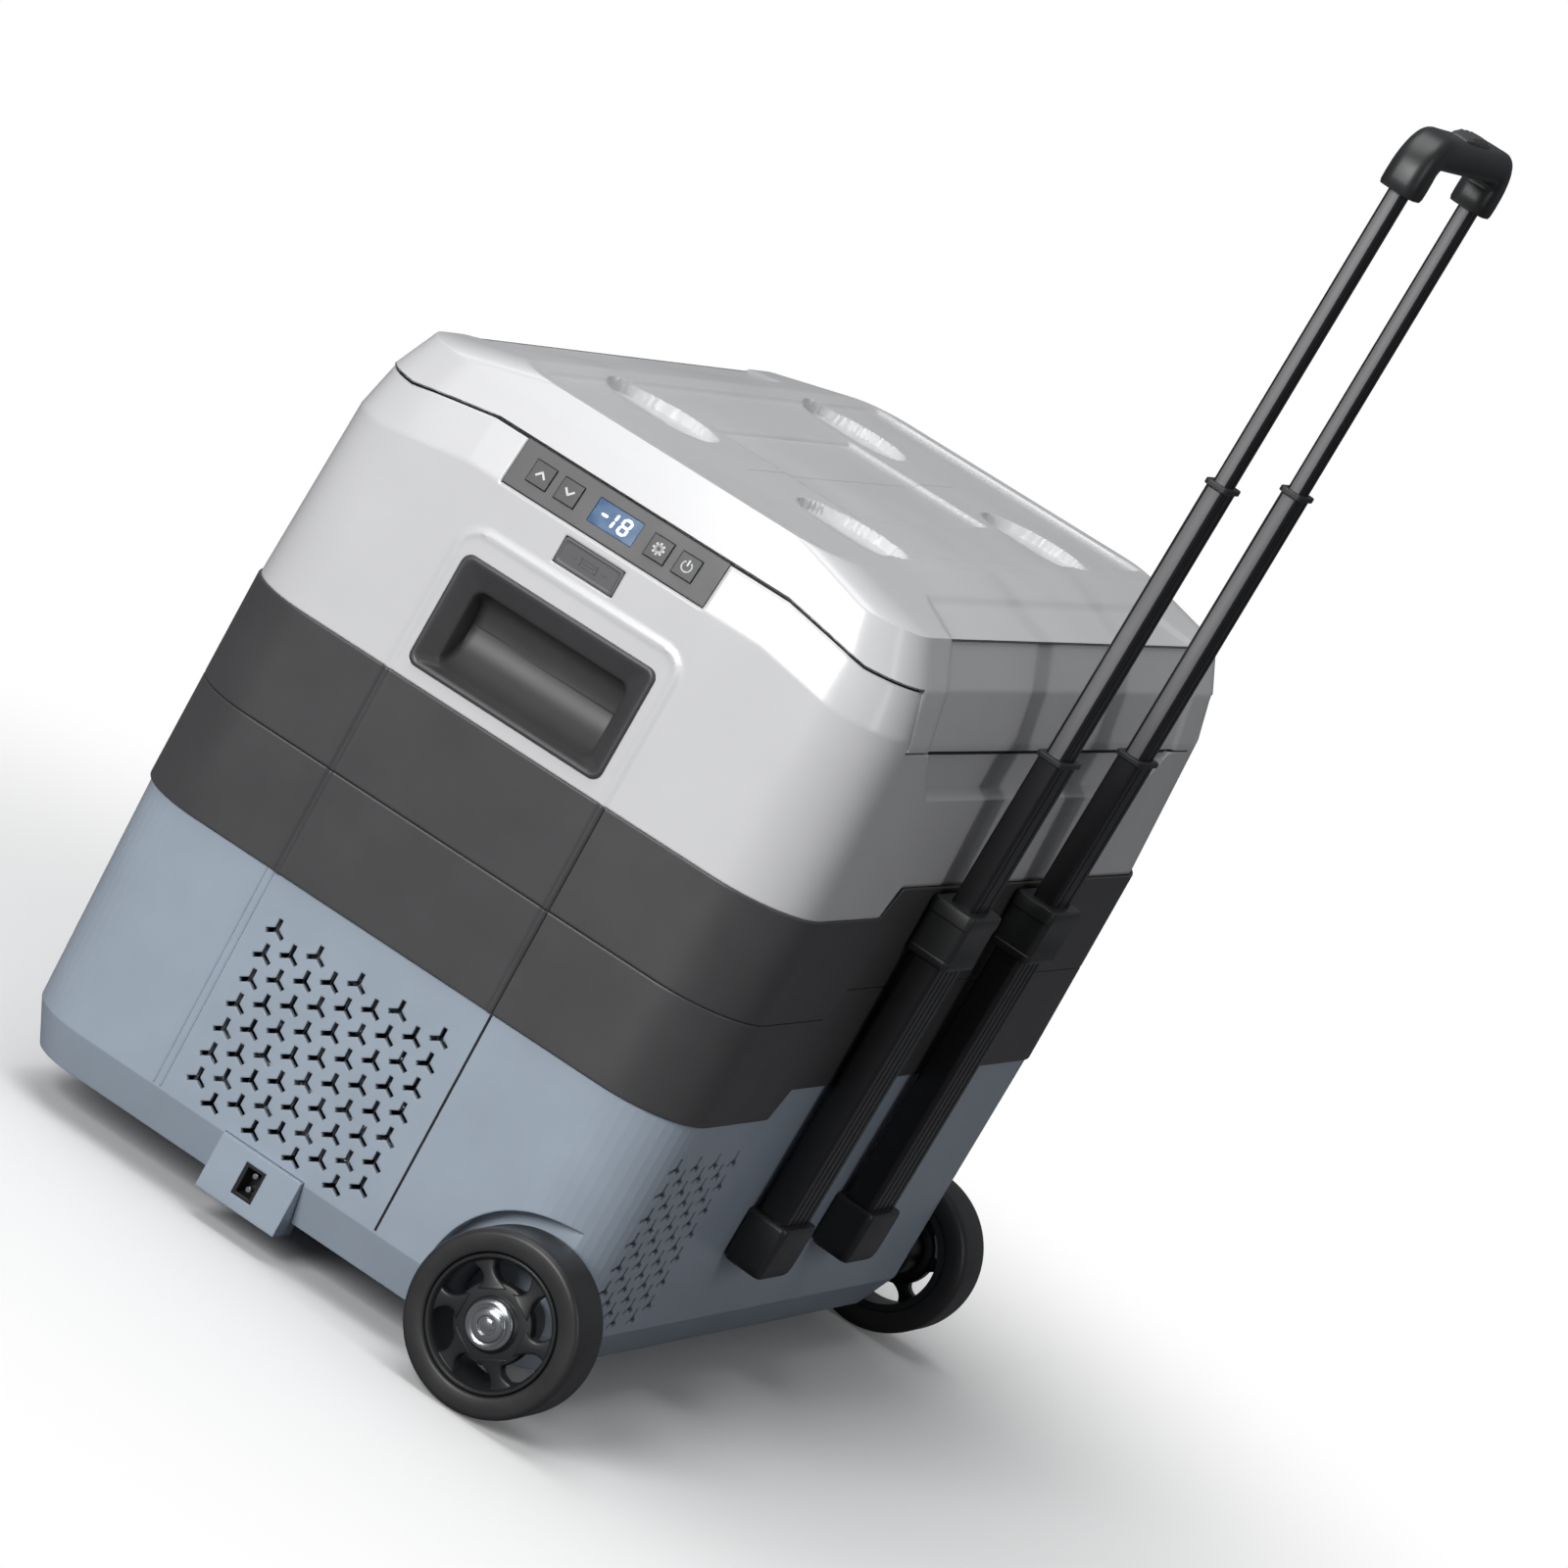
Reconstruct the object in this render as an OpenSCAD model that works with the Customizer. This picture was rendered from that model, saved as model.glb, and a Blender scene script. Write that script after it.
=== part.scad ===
// Wheeled compressor cooler fridge, about 45 litres: banded plastic cabinet, hinged lid,
// front control panel, compressor bay behind the vents and a telescopic trolley.
// Millimetres, +Z up, front face towards -Y, trolley on +X, floor at Z = 0.

/* [Cabinet] */
// Width of the cabinet across the bands
body_w = 365; // [330:5:420]
// Length of the cabinet, front to back
body_l = 579; // [560:5:680]
// Radius of the cabinet's upright corners
corner_r = 50; // [40:1:60]
// Height of the underside above the floor
base_z = 23; // [20:1:30]
// Height of the sloped skirt round the bottom edge
chamfer_h = 24; // [18:1:30]
// Height of the lower housing above the underside, at the front
lower_h = 158; // [150:2:190]
// Height of one stacking band
band_h = 62.5; // [50:0.5:80]
// Height of the upper housing to its crease
crease_h = 114; // [110:2:140]
// Height of the leaning strip above the crease
brow_h = 27; // [25:1:30]
// Rise of the joint lines behind the compressor bay
jog_h = 18; // [10:1:24]
// Depth of the compressor bay from the front face to the jog
bay_l = 143; // [140:1:160]
// Wall of the moulded housings
wall = 3; // [2.5:0.1:4]
// Thickness of the lower housing's floor
floor_t = 3; // [2.5:0.1:4]
// Inset of the underside from the bands
chamfer_in = 16; // [12:1:20]
// Inset of the lower housing at the top of its sloped skirt
foot_in = 5; // [3:0.5:8]
// Inset of the lower housing under the bands
lower_in = 1.5; // [1:0.5:3]
// Inset of the upper housing on the bands
upper_in = 1.2; // [1:0.1:3]
// Inset at the crease
crease_in = 6; // [4:0.5:8]
// Inset at the top of the leaning strip
brow_in = 12.5; // [10:0.5:14]

/* [Lid] */
// Height of the lid above the lid joint
lid_h = 29; // [26:1:40]
// Drop of the lid joint towards the corners
joint_drop = 9; // [6:1:12]
// Depth of the side skirts below the joint at the corners
skirt_drop = 33; // [28:1:40]
// Length of the side skirts
skirt_l = 490; // [440:5:490]
// Gap of the lid joint
joint_gap = 1.2; // [1:0.1:2]
// Width of the lid's flat top
lid_flat_w = 212; // [190:2:240]
// Depth of the tray in the lid top
tray_d = 2; // [1:0.5:2.5]
// Diameter of the cup recesses
cup_d = 66; // [60:1:76]
// Depth of the cup recesses below the tray
cup_depth = 5; // [3:0.5:8]
// Diameter of the lid's hinge pins
hinge_pin_d = 4; // [3:0.5:5]
// Thickness of the lid seal
seal_t = 4.8; // [4:0.2:6]

/* [Tub] */
// Width of the tub inside
tub_w = 290; // [250:2:292]
// Distance from the front face to the tub's deep part
tub_front = 184; // [180:1:190]
// Distance from the front face to the tub's shelf
shelf_front = 52; // [50:1:56]
// Distance from the rear face to the tub
tub_rear = 42; // [40:1:50]
// Height of the tub's floor above the cabinet's underside
tub_floor_h = 52; // [48:1:70]
// Height of the shelf above the cabinet's underside
shelf_h = 278; // [275:1:300]
// Wall of the tub
tub_wall = 2; // [1.5:0.1:3]

/* [Front fittings] */
// Offset of the front fittings from the middle of the cabinet
strip_x = -8; // [-12:1:0]
// Width of the control panel
panel_w = 130; // [120:1:140]
// Size of a square button
button_s = 12.5; // [10:0.5:14]
// Travel of a button
button_travel = 0.8; // [0.5:0.1:1]
// Width of the display window
display_w = 28; // [24:1:30]
// Height of the display window
display_h = 14; // [12:1:15]
// Width of the handle bezel
bezel_w = 126; // [120:1:132]
// Height of the handle bezel
bezel_h = 67; // [64:1:70]
// Width of the hand pocket
pocket_w = 98; // [90:1:104]
// Radius of the hand pocket's scoop
pocket_r = 24; // [20:1:25]
// Width of the USB cover
usb_w = 38; // [34:1:42]
// Height of the USB cover
usb_h = 15; // [13:0.5:16]
// Width of the power inlet housing
inlet_w = 52; // [46:1:58]
// Height of the power inlet housing
inlet_h = 33; // [30:1:36]

/* [Wheels] */
// Wheel diameter
wheel_d = 100; // [90:1:104]
// Wheel width
wheel_w = 38; // [30:1:40]
// Distance of the wheel's outer face beyond the front face
wheel_out = 27; // [20:1:30]
// Distance of the axle from the trolley side of the cabinet
axle_in = 27.5; // [24:0.5:34]
// Axle diameter
axle_d = 10; // [8:1:12]

/* [Trolley] */
// Distance between the two legs
leg_pitch = 135; // [120:1:160]
// Distance of the leg's middle from the cabinet side, at mid band
leg_out = 14.5; // [14:0.5:20]
// Outward lean of the trolley in degrees
lean = 1.6; // [0:0.1:2]
// Outer tube section across the leg
outer_w = 40; // [36:1:44]
// Outer tube section in depth
outer_t = 18; // [17:0.5:20]
// First stage section across the leg
first_w = 30; // [28:1:32]
// First stage section in depth
first_t = 14; // [13.5:0.1:14.5]
// Second stage section across the leg
second_w = 22; // [20:1:24]
// Second stage section in depth
second_t = 11.5; // [11.2:0.1:11.8]
// Third stage section across the leg
third_w = 15; // [14:0.5:17]
// Third stage section in depth
third_t = 9.3; // [9:0.1:9.5]
// Length of the first stage left showing
first_show = 95; // [80:1:110]
// Length of the second stage left showing
second_show = 171; // [150:1:175]
// Length of the third stage left showing
third_show = 180; // [150:1:185]
// Height of the grip above its sockets
grip_h = 38; // [34:1:44]
// Depth of the grip
grip_t = 22; // [18:1:26]

/* [Compressor bay] */
// Compressor diameter
comp_d = 106; // [100:1:108]
// Compressor height without its feet
comp_h = 128; // [110:1:140]
// Side of the fan frame
fan_s = 92; // [80:1:92]
// Depth of the fan frame
fan_t = 25; // [20:1:25]
// Depth of the condenser
cond_t = 26; // [20:1:28]

/* [Hidden] */
$fn = 64;
hull_fn = 48;

reach = 900;
skin = 0.1;
fit = 0.3;
running = 0.05;
half_w = body_w / 2;
half_l = body_l / 2;

// Heights up the cabinet
chamfer_z = base_z + chamfer_h;
band_z = base_z + lower_h;
mid_z = band_z + band_h;
upper_z = mid_z + band_h;
crease_z = upper_z + crease_h;
joint_z = crease_z + brow_h;
corner_z = joint_z - joint_drop;
skirt_z = corner_z - skirt_drop;
top_z = joint_z + lid_h;
jog_y = -half_l + bay_l;
jog_run = 12;

// Lean of the faces, degrees
brow_tilt = atan((brow_in - crease_in) / brow_h);
upper_tilt = atan((crease_in - upper_in) / crease_h);
lower_tilt = atan((foot_in - lower_in) / (lower_h + jog_h - chamfer_h));

// Lid profile
skirt_in = crease_in - 1.5;
joint_in = 11.3;
shoulder_drop = 13;
shoulder_in = 23.5;
shoulder_z = top_z - shoulder_drop;
flat_in_y = 19.5;
shoulder_in_y = 16.5;
tongue_w = 190;
tongue_run = 55;
skirt_x = half_w - 14.5;
cup_x = 63;
cup_y = 148;
tray_rim = 13;
well_w = 94;
well_l = 208;

// Hinge on the long side away from the trolley
hinge_r = 4;
hinge_x = -half_w + 9.5;
hinge_z = skirt_z + 2;
swing_r = 6.4;
ledge_z = hinge_z - swing_r - wall;
knuckle_l = 36;
knuckle_y = 150;
lug_l = 8;
lug_gap = 0.4;

// Tub and foam
tub_y0 = -half_l + tub_front;
tub_y1 = half_l - tub_rear;
shelf_y0 = -half_l + shelf_front;
tub_z = base_z + tub_floor_h;
shelf_z = base_z + shelf_h;
tub_r = 20;
flange_t = 3;
rim_z = corner_z - 2;
seal_w = 6;
plug_in = 9;
plug_d = 6;
liner_t = 2.5;
seal_gap = 0.2;
liner_z = rim_z + seal_gap + seal_t;

// Front fittings
panel_z = crease_z + brow_h / 2;
panel_h = brow_h / cos(brow_tilt) - 1.2;
panel_t = 3;
panel_y = -half_l + (crease_in + brow_in) / 2;
button_x = [-48, -30, 28, 46];
button_t = 5;
board_y = 8;
bezel_z = upper_z + 41;
rear_bezel_z = bezel_z + jog_h;
bezel_t = 5;
bezel_proud = 2.2;
pocket_wall = 2.5;
usb_z = crease_z - 13;
usb_t = 2.5;
usb_y = -half_l + upper_in + (usb_z - upper_z) * tan(upper_tilt);
inlet_z = base_z - 8;
inlet_proud = 3;

// Vents
vent_pitch_x = 13.6;
vent_pitch_z = 15.2;
vent_arm = 6.2;
vent_slot = 2.6;
vent_cols = 9;
vent_rows = 7;
vent_z0 = chamfer_z + 9;
vent_cut = 30;
side_cols = 7;
side_vent_y = -half_l + 87;

// Wheels and axle
wheel_r = wheel_d / 2;
axle_x = half_w - axle_in;
axle_z = wheel_r;
wheel_y1 = half_l + wheel_out;
wheel_y0 = wheel_y1 - wheel_w;
arch_r = wheel_r + 7;
arch_y = wheel_y0 - 4;
boss_l = 16;
boss_t = 5;
rim_r = 37;
hub_r = 20.5;
cap_r = 13.5;
rim_in = 3;
windows = 5;

// Feet on the side away from the wheels
foot_x = -half_w + 58;
foot_y = 130;
foot_r = 18;
foot_pad_t = 7;

// Trolley, s is measured along the leg from mid band height
leg_z = mid_z + 56.5;
leg_x = half_w + leg_out;
cap_h = 33;
cap_floor = 8;
collar_h = 34;
collar_s1 = 21;
collar_s0 = collar_s1 - collar_h;
cap_s0 = -212;
cap_wall = 4;
slide = 0.3;
ferrule_h = 3;
ferrule_w = 1.5;
first_s = collar_s1 + first_show;
second_s = first_s + second_show;
third_s = second_s + third_show;
first_len = first_show + 120;
second_len = second_show + 41;
third_len = third_show + 33;
tube_wall = 1.2;
socket_h = 18;
grip_half = leg_pitch / 2 + 13;
grip_r = 15;
release_w = 46;
rod_r = 1.5;
grip_out = leg_x + (third_s + grip_h) * sin(lean) + grip_t / 2;

// Compressor bay
tray_t = 1.5;
tray_z = base_z + floor_t;
comp_x = -half_w + 78;
comp_y = -half_l + 92;
comp_foot_h = 12;
comp_z = tray_z + tray_t + comp_foot_h;
comp_foot_pitch = 38;
cond_y = -half_l + 12;
cond_w = 118;
cond_h = 108;
cond_z = chamfer_z + 6;
fan_y = cond_y + cond_t + 1;
fan_z = cond_z + cond_h / 2;
fan_gap = 1;
hub_d = 34;
blades = 7;
module_x = half_w - 112;
module_y = -half_l + 60;
drier_x = 40;
drier_y = -half_l + 118;
pipe_r = 3;
ball_t = 0.6;

// The frame's origin is below the middle of the whole outline, trolley included
frame_x = -(grip_out - half_w) / 2;

module frame() {
    translate([frame_x, 0, 0]) children();
}

module box(x0, x1, y0, y1, z0, z1) {
    translate([x0, y0, z0]) cube([x1 - x0, y1 - y0, z1 - z0]);
}

// Prism with a rounded rectangular plan, centred on X and Y
module rounded(hw, hl, r, h) {
    linear_extrude(h) {
        square([2 * (hw - r), 2 * hl], center = true);
        square([2 * hw, 2 * (hl - r)], center = true);
        for (sx = [-1, 1], sy = [-1, 1]) {
            translate([sx * (hw - r), sy * (hl - r)]) circle(r);
        }
    }
}

// One level of the cabinet: height, half width, half length, corner radius
function level(z, inset) = [z, half_w - inset, half_l - inset, corner_r - inset];
function lid_level(z, in_x, in_y) = [z, half_w - in_x, half_l - in_y, corner_r - in_y];
function shrink(lv, t) = [lv[0], lv[1] - t, lv[2] - t, lv[3] - t];
function raise(lv, dz) = [lv[0] + dz, lv[1], lv[2], lv[3]];

module plate(lv, z) {
    for (sx = [-1, 1], sy = [-1, 1]) {
        translate([sx * (lv[1] - lv[3]), sy * (lv[2] - lv[3]), z])
            cylinder(h = skin, r = lv[3], $fn = hull_fn);
    }
}

module loft(lo, hi) {
    hull() {
        plate(lo, lo[0]);
        plate(hi, hi[0] - skin);
    }
}

// Everything below a joint line that steps up behind the compressor bay
module below(z) {
    rotate([90, 0, 90]) linear_extrude(2 * reach, center = true) polygon([
        [-reach, -reach], [reach, -reach], [reach, z + jog_h],
        [jog_y + jog_run / 2, z + jog_h], [jog_y - jog_run / 2, z], [-reach, z]
    ]);
}

// The space that belongs to the lid: above the joint, and the side skirts
module lid_zone(grow) {
    rotate([90, 0, 0]) linear_extrude(2 * reach, center = true) polygon([
        [-reach, corner_z - grow], [-tongue_w / 2 - tongue_run, corner_z - grow],
        [-tongue_w / 2, joint_z - grow], [tongue_w / 2, joint_z - grow],
        [tongue_w / 2 + tongue_run, corner_z - grow], [reach, corner_z - grow],
        [reach, reach], [-reach, reach]
    ]);
    for (side = [-1, 1]) {
        translate([side * (skirt_x - grow + reach / 2), 0, (skirt_z - grow + corner_z) / 2 + 0.5])
            cube([reach, skirt_l + 2 * grow, corner_z - skirt_z + grow + 1], center = true);
    }
}

// A point on the front face, in the face's own plane: X across, Y inwards, Z up the face
module on_front(y, z, tilt) {
    translate([strip_x, y, z]) rotate([-tilt, 0, 0]) children();
}

module face_box(w, h, y0, y1) {
    translate([-w / 2, y0, -h / 2]) cube([w, y1 - y0, h]);
}

// Three-armed vent hole
module vent_hole(depth) {
    rotate([90, 0, 0]) linear_extrude(depth, center = true) polygon([
        for (k = [0:2], e = [0:2])
            let (a = 90 + 120 * k, w = vent_slot / 2)
            e == 0 ? [vent_arm * cos(a) + w * sin(a), vent_arm * sin(a) - w * cos(a)]
            : e == 1 ? [vent_arm * cos(a) - w * sin(a), vent_arm * sin(a) + w * cos(a)]
            : [2 * w * cos(a + 60) / 1.732, 2 * w * sin(a + 60) / 1.732]
    ]);
}

module vent_field(cols, rows, depth) {
    for (i = [0:cols - 1], j = [0:rows - 1]) {
        translate([(i - (cols - 1) / 2) * vent_pitch_x, 0, (j + (i % 2 == 0 ? 0.5 : 0)) * vent_pitch_z])
            vent_hole(depth);
    }
}

// Wheel well behind one wheel, front (-1) or rear (1)
module wheel_well(end, grow) {
    translate([axle_x, end * (arch_y - grow + reach / 2), axle_z])
        rotate([90, 0, 0]) cylinder(h = reach, r = arch_r + grow, center = true);
}

module lower_outer() {
    loft(level(base_z, chamfer_in), level(chamfer_z, foot_in));
    loft(level(chamfer_z, foot_in), level(band_z + jog_h, lower_in));
}

module lower_housing() frame() color("lightsteelblue") difference() {
    union() {
        difference() {
            intersection() {
                lower_outer();
                below(band_z);
            }
            difference() {
                union() {
                    loft(
                        shrink(level(base_z + floor_t, chamfer_in), wall),
                        shrink(level(chamfer_z, foot_in), wall)
                    );
                    loft(
                        shrink(level(chamfer_z - skin, foot_in), wall),
                        shrink(raise(level(band_z + jog_h, lower_in), 1), wall)
                    );
                }
                for (end = [-1, 1]) wheel_well(end, wall);
            }
        }
        for (end = [-1, 1]) {
            translate([foot_x, end * foot_y, foot_pad_t])
                cylinder(h = base_z - foot_pad_t + 1, r = foot_r - 2);
            translate([axle_x, end * (arch_y - wall - boss_l / 2), axle_z])
                rotate([90, 0, 0]) cylinder(h = boss_l, r = axle_d / 2 + boss_t, center = true);
        }
    }
    for (end = [-1, 1]) wheel_well(end, 0);
    translate([axle_x, 0, axle_z]) rotate([90, 0, 0])
        cylinder(h = reach, r = axle_d / 2 + running, center = true);
    translate([strip_x, -half_l, vent_z0]) vent_field(vent_cols, vent_rows, vent_cut);
    translate([half_w, side_vent_y, vent_z0]) rotate([0, 0, 90]) vent_field(side_cols, vent_rows, vent_cut);
    box(strip_x - inlet_w / 2 - fit, strip_x + inlet_w / 2 + fit,
        -reach, -half_l + chamfer_in + 9, inlet_z - 1, inlet_z + inlet_h + fit);
    base_screw_holes();
}

module band(z) {
    difference() {
        intersection() {
            translate([0, 0, z]) rounded(half_w, half_l, corner_r, band_h + jog_h);
            below(z + band_h);
        }
        below(z);
        translate([0, 0, z - 1])
            rounded(half_w - wall, half_l - wall, corner_r - wall, band_h + jog_h + 2);
    }
}

module lower_band() frame() color("dimgray") band(band_z);

module upper_band() frame() color("dimgray") band(mid_z);

// Trapezoid under the side skirts, where fingers reach the lid edge
module finger_recess(side, grow) {
    depth = 6 + grow;
    translate([side * (half_w - crease_in - depth + reach / 2), 0, 0]) rotate([90, 0, 90])
        linear_extrude(reach, center = true) polygon([
            [-205 - grow, skirt_z], [-172 - grow, skirt_z - 28 - grow],
            [172 + grow, skirt_z - 28 - grow], [205 + grow, skirt_z]
        ]);
}

module upper_solid(inset) {
    loft(shrink(level(upper_z, upper_in), inset), shrink(level(crease_z, crease_in), inset));
    loft(shrink(level(crease_z, crease_in), inset), shrink(level(joint_z, brow_in), inset));
}

module upper_housing() frame() color("gainsboro") difference() {
    union() {
        difference() {
            upper_solid(0);
            difference() {
                loft(
                    shrink(level(upper_z - 1, upper_in), wall),
                    shrink(level(crease_z, crease_in), wall)
                );
                finger_recess(1, wall);
                box(-reach, -skirt_x + joint_gap + wall, -skirt_l / 2 - joint_gap - wall,
                    skirt_l / 2 + joint_gap + wall, ledge_z, reach);
                box(skirt_x - joint_gap - wall, reach, -skirt_l / 2 - joint_gap - wall,
                    skirt_l / 2 + joint_gap + wall, skirt_z - joint_gap - wall, reach);
            }
            difference() {
                loft(
                    shrink(level(crease_z - skin, crease_in), wall),
                    shrink(raise(level(joint_z, brow_in), 1), wall)
                );
                for (side = [-1, 1]) translate([side * (skirt_x - joint_gap - wall + reach / 2), 0, crease_z])
                    cube([reach, skirt_l + 2 * (joint_gap + wall), 2 * brow_h], center = true);
            }
        }
    }
    below(upper_z);
    difference() {
        union() {
            lid_zone(joint_gap);
            // Room below the hinged skirt for its edge to swing
            box(-reach, -skirt_x + joint_gap, -skirt_l / 2 - joint_gap, skirt_l / 2 + joint_gap,
                hinge_z - swing_r, corner_z);
        }
        hinge_lugs();
    }
    for (end = [-1, 1]) translate([hinge_x, end * knuckle_y, hinge_z]) rotate([90, 0, 0])
        cylinder(h = knuckle_l + 2 * lug_l, r = hinge_pin_d / 2, center = true);
    finger_recess(1, 0);
    // Openings for the front fittings and both hand pockets
    on_front(panel_y, panel_z, brow_tilt) face_box(panel_w + 2 * fit, panel_h + 2 * fit, -8, 12);
    on_front(usb_y, usb_z, upper_tilt) {
        face_box(usb_w + 2 * fit, usb_h + 2 * fit, -4, usb_t + 0.4);
        face_box(15, 8, -4, 12);
    }
    for (end = [-1, 1]) hand_pocket_place(end) {
        face_box(pocket_w + 2 * pocket_wall + 2 * fit, 2 * (pocket_r + pocket_wall + fit), -8, 40);
        face_box(bezel_w + 2 * fit, bezel_h + 2 * fit, -8, bezel_t - bezel_proud - 1);
    }
}

module hinge_lugs() {
    for (end = [-1, 1], side = [-1, 1]) {
        y = end * knuckle_y + side * (knuckle_l / 2 + lug_gap + lug_l / 2);
        translate([hinge_x, y, hinge_z]) rotate([90, 0, 0])
            cylinder(h = lug_l, r = hinge_r, center = true);
        box(hinge_x, -skirt_x + joint_gap + 1, y - lug_l / 2, y + lug_l / 2, ledge_z + 1, hinge_z + hinge_r);
        box(hinge_x - hinge_r, -skirt_x + joint_gap + 1, y - lug_l / 2, y + lug_l / 2, ledge_z + 1, hinge_z);
    }
}

// The tub with its shelf over the compressor bay; t grows it outwards
module tub_space(t, top) {
    translate([0, (tub_y0 + tub_y1) / 2, tub_z - t])
        rounded(tub_w / 2 + t, (tub_y1 - tub_y0) / 2 + t, tub_r + t, top - tub_z + t);
    translate([0, (shelf_y0 + tub_y1) / 2, shelf_z - t])
        rounded(tub_w / 2 + t, (tub_y1 - shelf_y0) / 2 + t, tub_r + t, top - shelf_z + t);
}

flange_hw = skirt_x - joint_gap - wall - fit;
flange_y0 = -half_l + brow_in + wall + 12;
flange_y1 = half_l - brow_in - wall - 1;

module inner_tub() frame() color("white") difference() {
    union() {
        tub_space(tub_wall, rim_z);
        translate([0, (flange_y0 + flange_y1) / 2, rim_z - flange_t])
            rounded(flange_hw, (flange_y1 - flange_y0) / 2, 30, flange_t);
    }
    tub_space(0, rim_z + 1);
}

module bay_space() {
    box(-reach, reach, -reach, tub_y0 - 26, -reach, shelf_z - 12);
}

module insulation() frame() color("khaki") difference() {
    union() {
        intersection() {
            union() {
                loft(
                    shrink(level(base_z + floor_t + fit, chamfer_in), wall + fit),
                    shrink(level(chamfer_z, foot_in), wall + fit)
                );
                loft(
                    shrink(level(chamfer_z - skin, foot_in), wall + fit),
                    shrink(level(band_z + jog_h, lower_in), wall + fit)
                );
            }
            box(-reach, reach, -reach, reach, -reach, band_z + jog_h);
        }
        loft(
            shrink(level(band_z + jog_h - skin, lower_in + 1), wall + fit),
            shrink(level(crease_z, crease_in), wall + fit)
        );
        translate([0, (flange_y0 + flange_y1) / 2, crease_z - 1])
            rounded(flange_hw, (flange_y1 - flange_y0) / 2, 30, rim_z - flange_t - crease_z + 1);
    }
    bay_space();
    tub_space(tub_wall + fit, reach);
    evaporator_space();
    // Behind the front fittings and the hand pockets
    box(strip_x - 80, strip_x + 80, -reach, -half_l + 32, usb_z - usb_h, reach);
    for (end = [-1, 1]) hand_pocket_place(end)
        face_box(pocket_w + 2 * pocket_wall + 2, 2 * (pocket_r + pocket_wall) + 2, -8, pocket_r + pocket_wall + 5);
    // Behind the finger recess and the side skirts
    finger_recess(1, wall + fit);
    for (side = [-1, 1])
        translate([side * (flange_hw + reach / 2), 0, ledge_z - fit + reach / 2])
            cube([reach, 2 * reach, reach], center = true);
    // Axle tunnel and rear wheel well
    box(axle_x - 14, reach, -reach, reach, -reach, axle_z + 12);
    wheel_well(1, wall + 6);
}

evap_t = 1.5;
evap_z0 = tub_z + 20;
evap_z1 = shelf_z - 30;
evap_fit = 0.5;
module evaporator_ring(in, out, z0, z1) {
    translate([0, (tub_y0 + tub_y1) / 2, z0]) difference() {
        rounded(tub_w / 2 + out, (tub_y1 - tub_y0) / 2 + out, tub_r + out, z1 - z0);
        translate([0, 0, -1])
            rounded(tub_w / 2 + in, (tub_y1 - tub_y0) / 2 + in, tub_r + in, z1 - z0 + 2);
    }
}

module evaporator_space() {
    evaporator_ring(0, tub_wall + evap_fit + evap_t + fit, evap_z0 - fit, evap_z1 + fit);
    for (k = [0:4]) evaporator_ring(0, tub_wall + evap_fit + evap_t + 6 + fit,
        evap_z0 + 12 + k * 30 - fit, evap_z0 + 18 + k * 30 + fit);
}

// Aluminium sheet wrapped round the tub, with the raised channels of the refrigerant
module evaporator() frame() color("silver") {
    evaporator_ring(tub_wall + evap_fit, tub_wall + evap_fit + evap_t, evap_z0, evap_z1);
    for (k = [0:4]) evaporator_ring(tub_wall + evap_fit + evap_t - 0.5, tub_wall + evap_fit + evap_t + 6,
        evap_z0 + 12 + k * 30, evap_z0 + 18 + k * 30);
}

tray_hw = half_w - foot_in - wall - 14;
tray_y0 = -half_l + 24;
tray_y1 = tub_y0 - 30;
tray_cut = 22;

module base_tray() frame() color("silver") difference() {
    union() {
        translate([0, 0, tray_z]) linear_extrude(tray_t) polygon([
            [-tray_hw, tray_y0 + tray_cut], [-tray_hw + tray_cut, tray_y0], [axle_x - 20, tray_y0],
            [axle_x - 20, tray_y1], [-tray_hw, tray_y1]
        ]);
        box(-tray_hw, axle_x - 20, tray_y1 - tray_t, tray_y1, tray_z, tray_z + 14);
    }
    for (p = tray_screws) translate([p[0], p[1], tray_z - 1]) cylinder(h = tray_t + 2, r = 2.1);
}

tray_screws = [for (x = [-tray_hw + 8, -20, axle_x - 34], y = [tray_y0 + 20, tray_y1 - 12]) [x, y]];

module base_screw_holes() {
    for (p = tray_screws) {
        translate([p[0], p[1], base_z - 1]) cylinder(h = floor_t + 2, r = 2.1);
    }
}

module base_screws() frame() color("gray") {
    for (p = tray_screws) {
        translate([p[0], p[1], base_z - 2.4]) cylinder(h = 2.4, r1 = 3, r2 = 4);
        translate([p[0], p[1], base_z - 0.1]) cylinder(h = floor_t + tray_t + 4, r = 2);
        translate([p[0], p[1], tray_z + tray_t]) cylinder(h = 3, r = 3.8, $fn = 6);
    }
}

module rubber_feet() frame() color("black") {
    for (end = [-1, 1]) translate([foot_x, end * foot_y, 0]) cylinder(h = foot_pad_t, r = foot_r);
}

module compressor() frame() color("dimgray") translate([comp_x, comp_y, comp_z]) {
    r = comp_d / 2;
    rotate_extrude() polygon([
        [0, 0], [r - 16, 0], [r - 6, 5], [r, 16], [r, comp_h * 0.45],
        [r + 2, comp_h * 0.45], [r + 2, comp_h * 0.45 + 5], [r, comp_h * 0.45 + 5],
        [r, comp_h - 24], [r - 8, comp_h - 8], [r - 24, comp_h], [0, comp_h]
    ]);
    translate([-comp_foot_pitch - 10, -comp_foot_pitch - 10, -3])
        cube([2 * comp_foot_pitch + 20, 2 * comp_foot_pitch + 20, 3]);
    translate([r - 4, 12, comp_h * 0.3]) rotate([0, 90, 0]) cylinder(h = 14, r = pipe_r + 1);
    translate([r - 20, -12, comp_h - 26]) cylinder(h = 30, r = pipe_r + 1);
}

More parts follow.
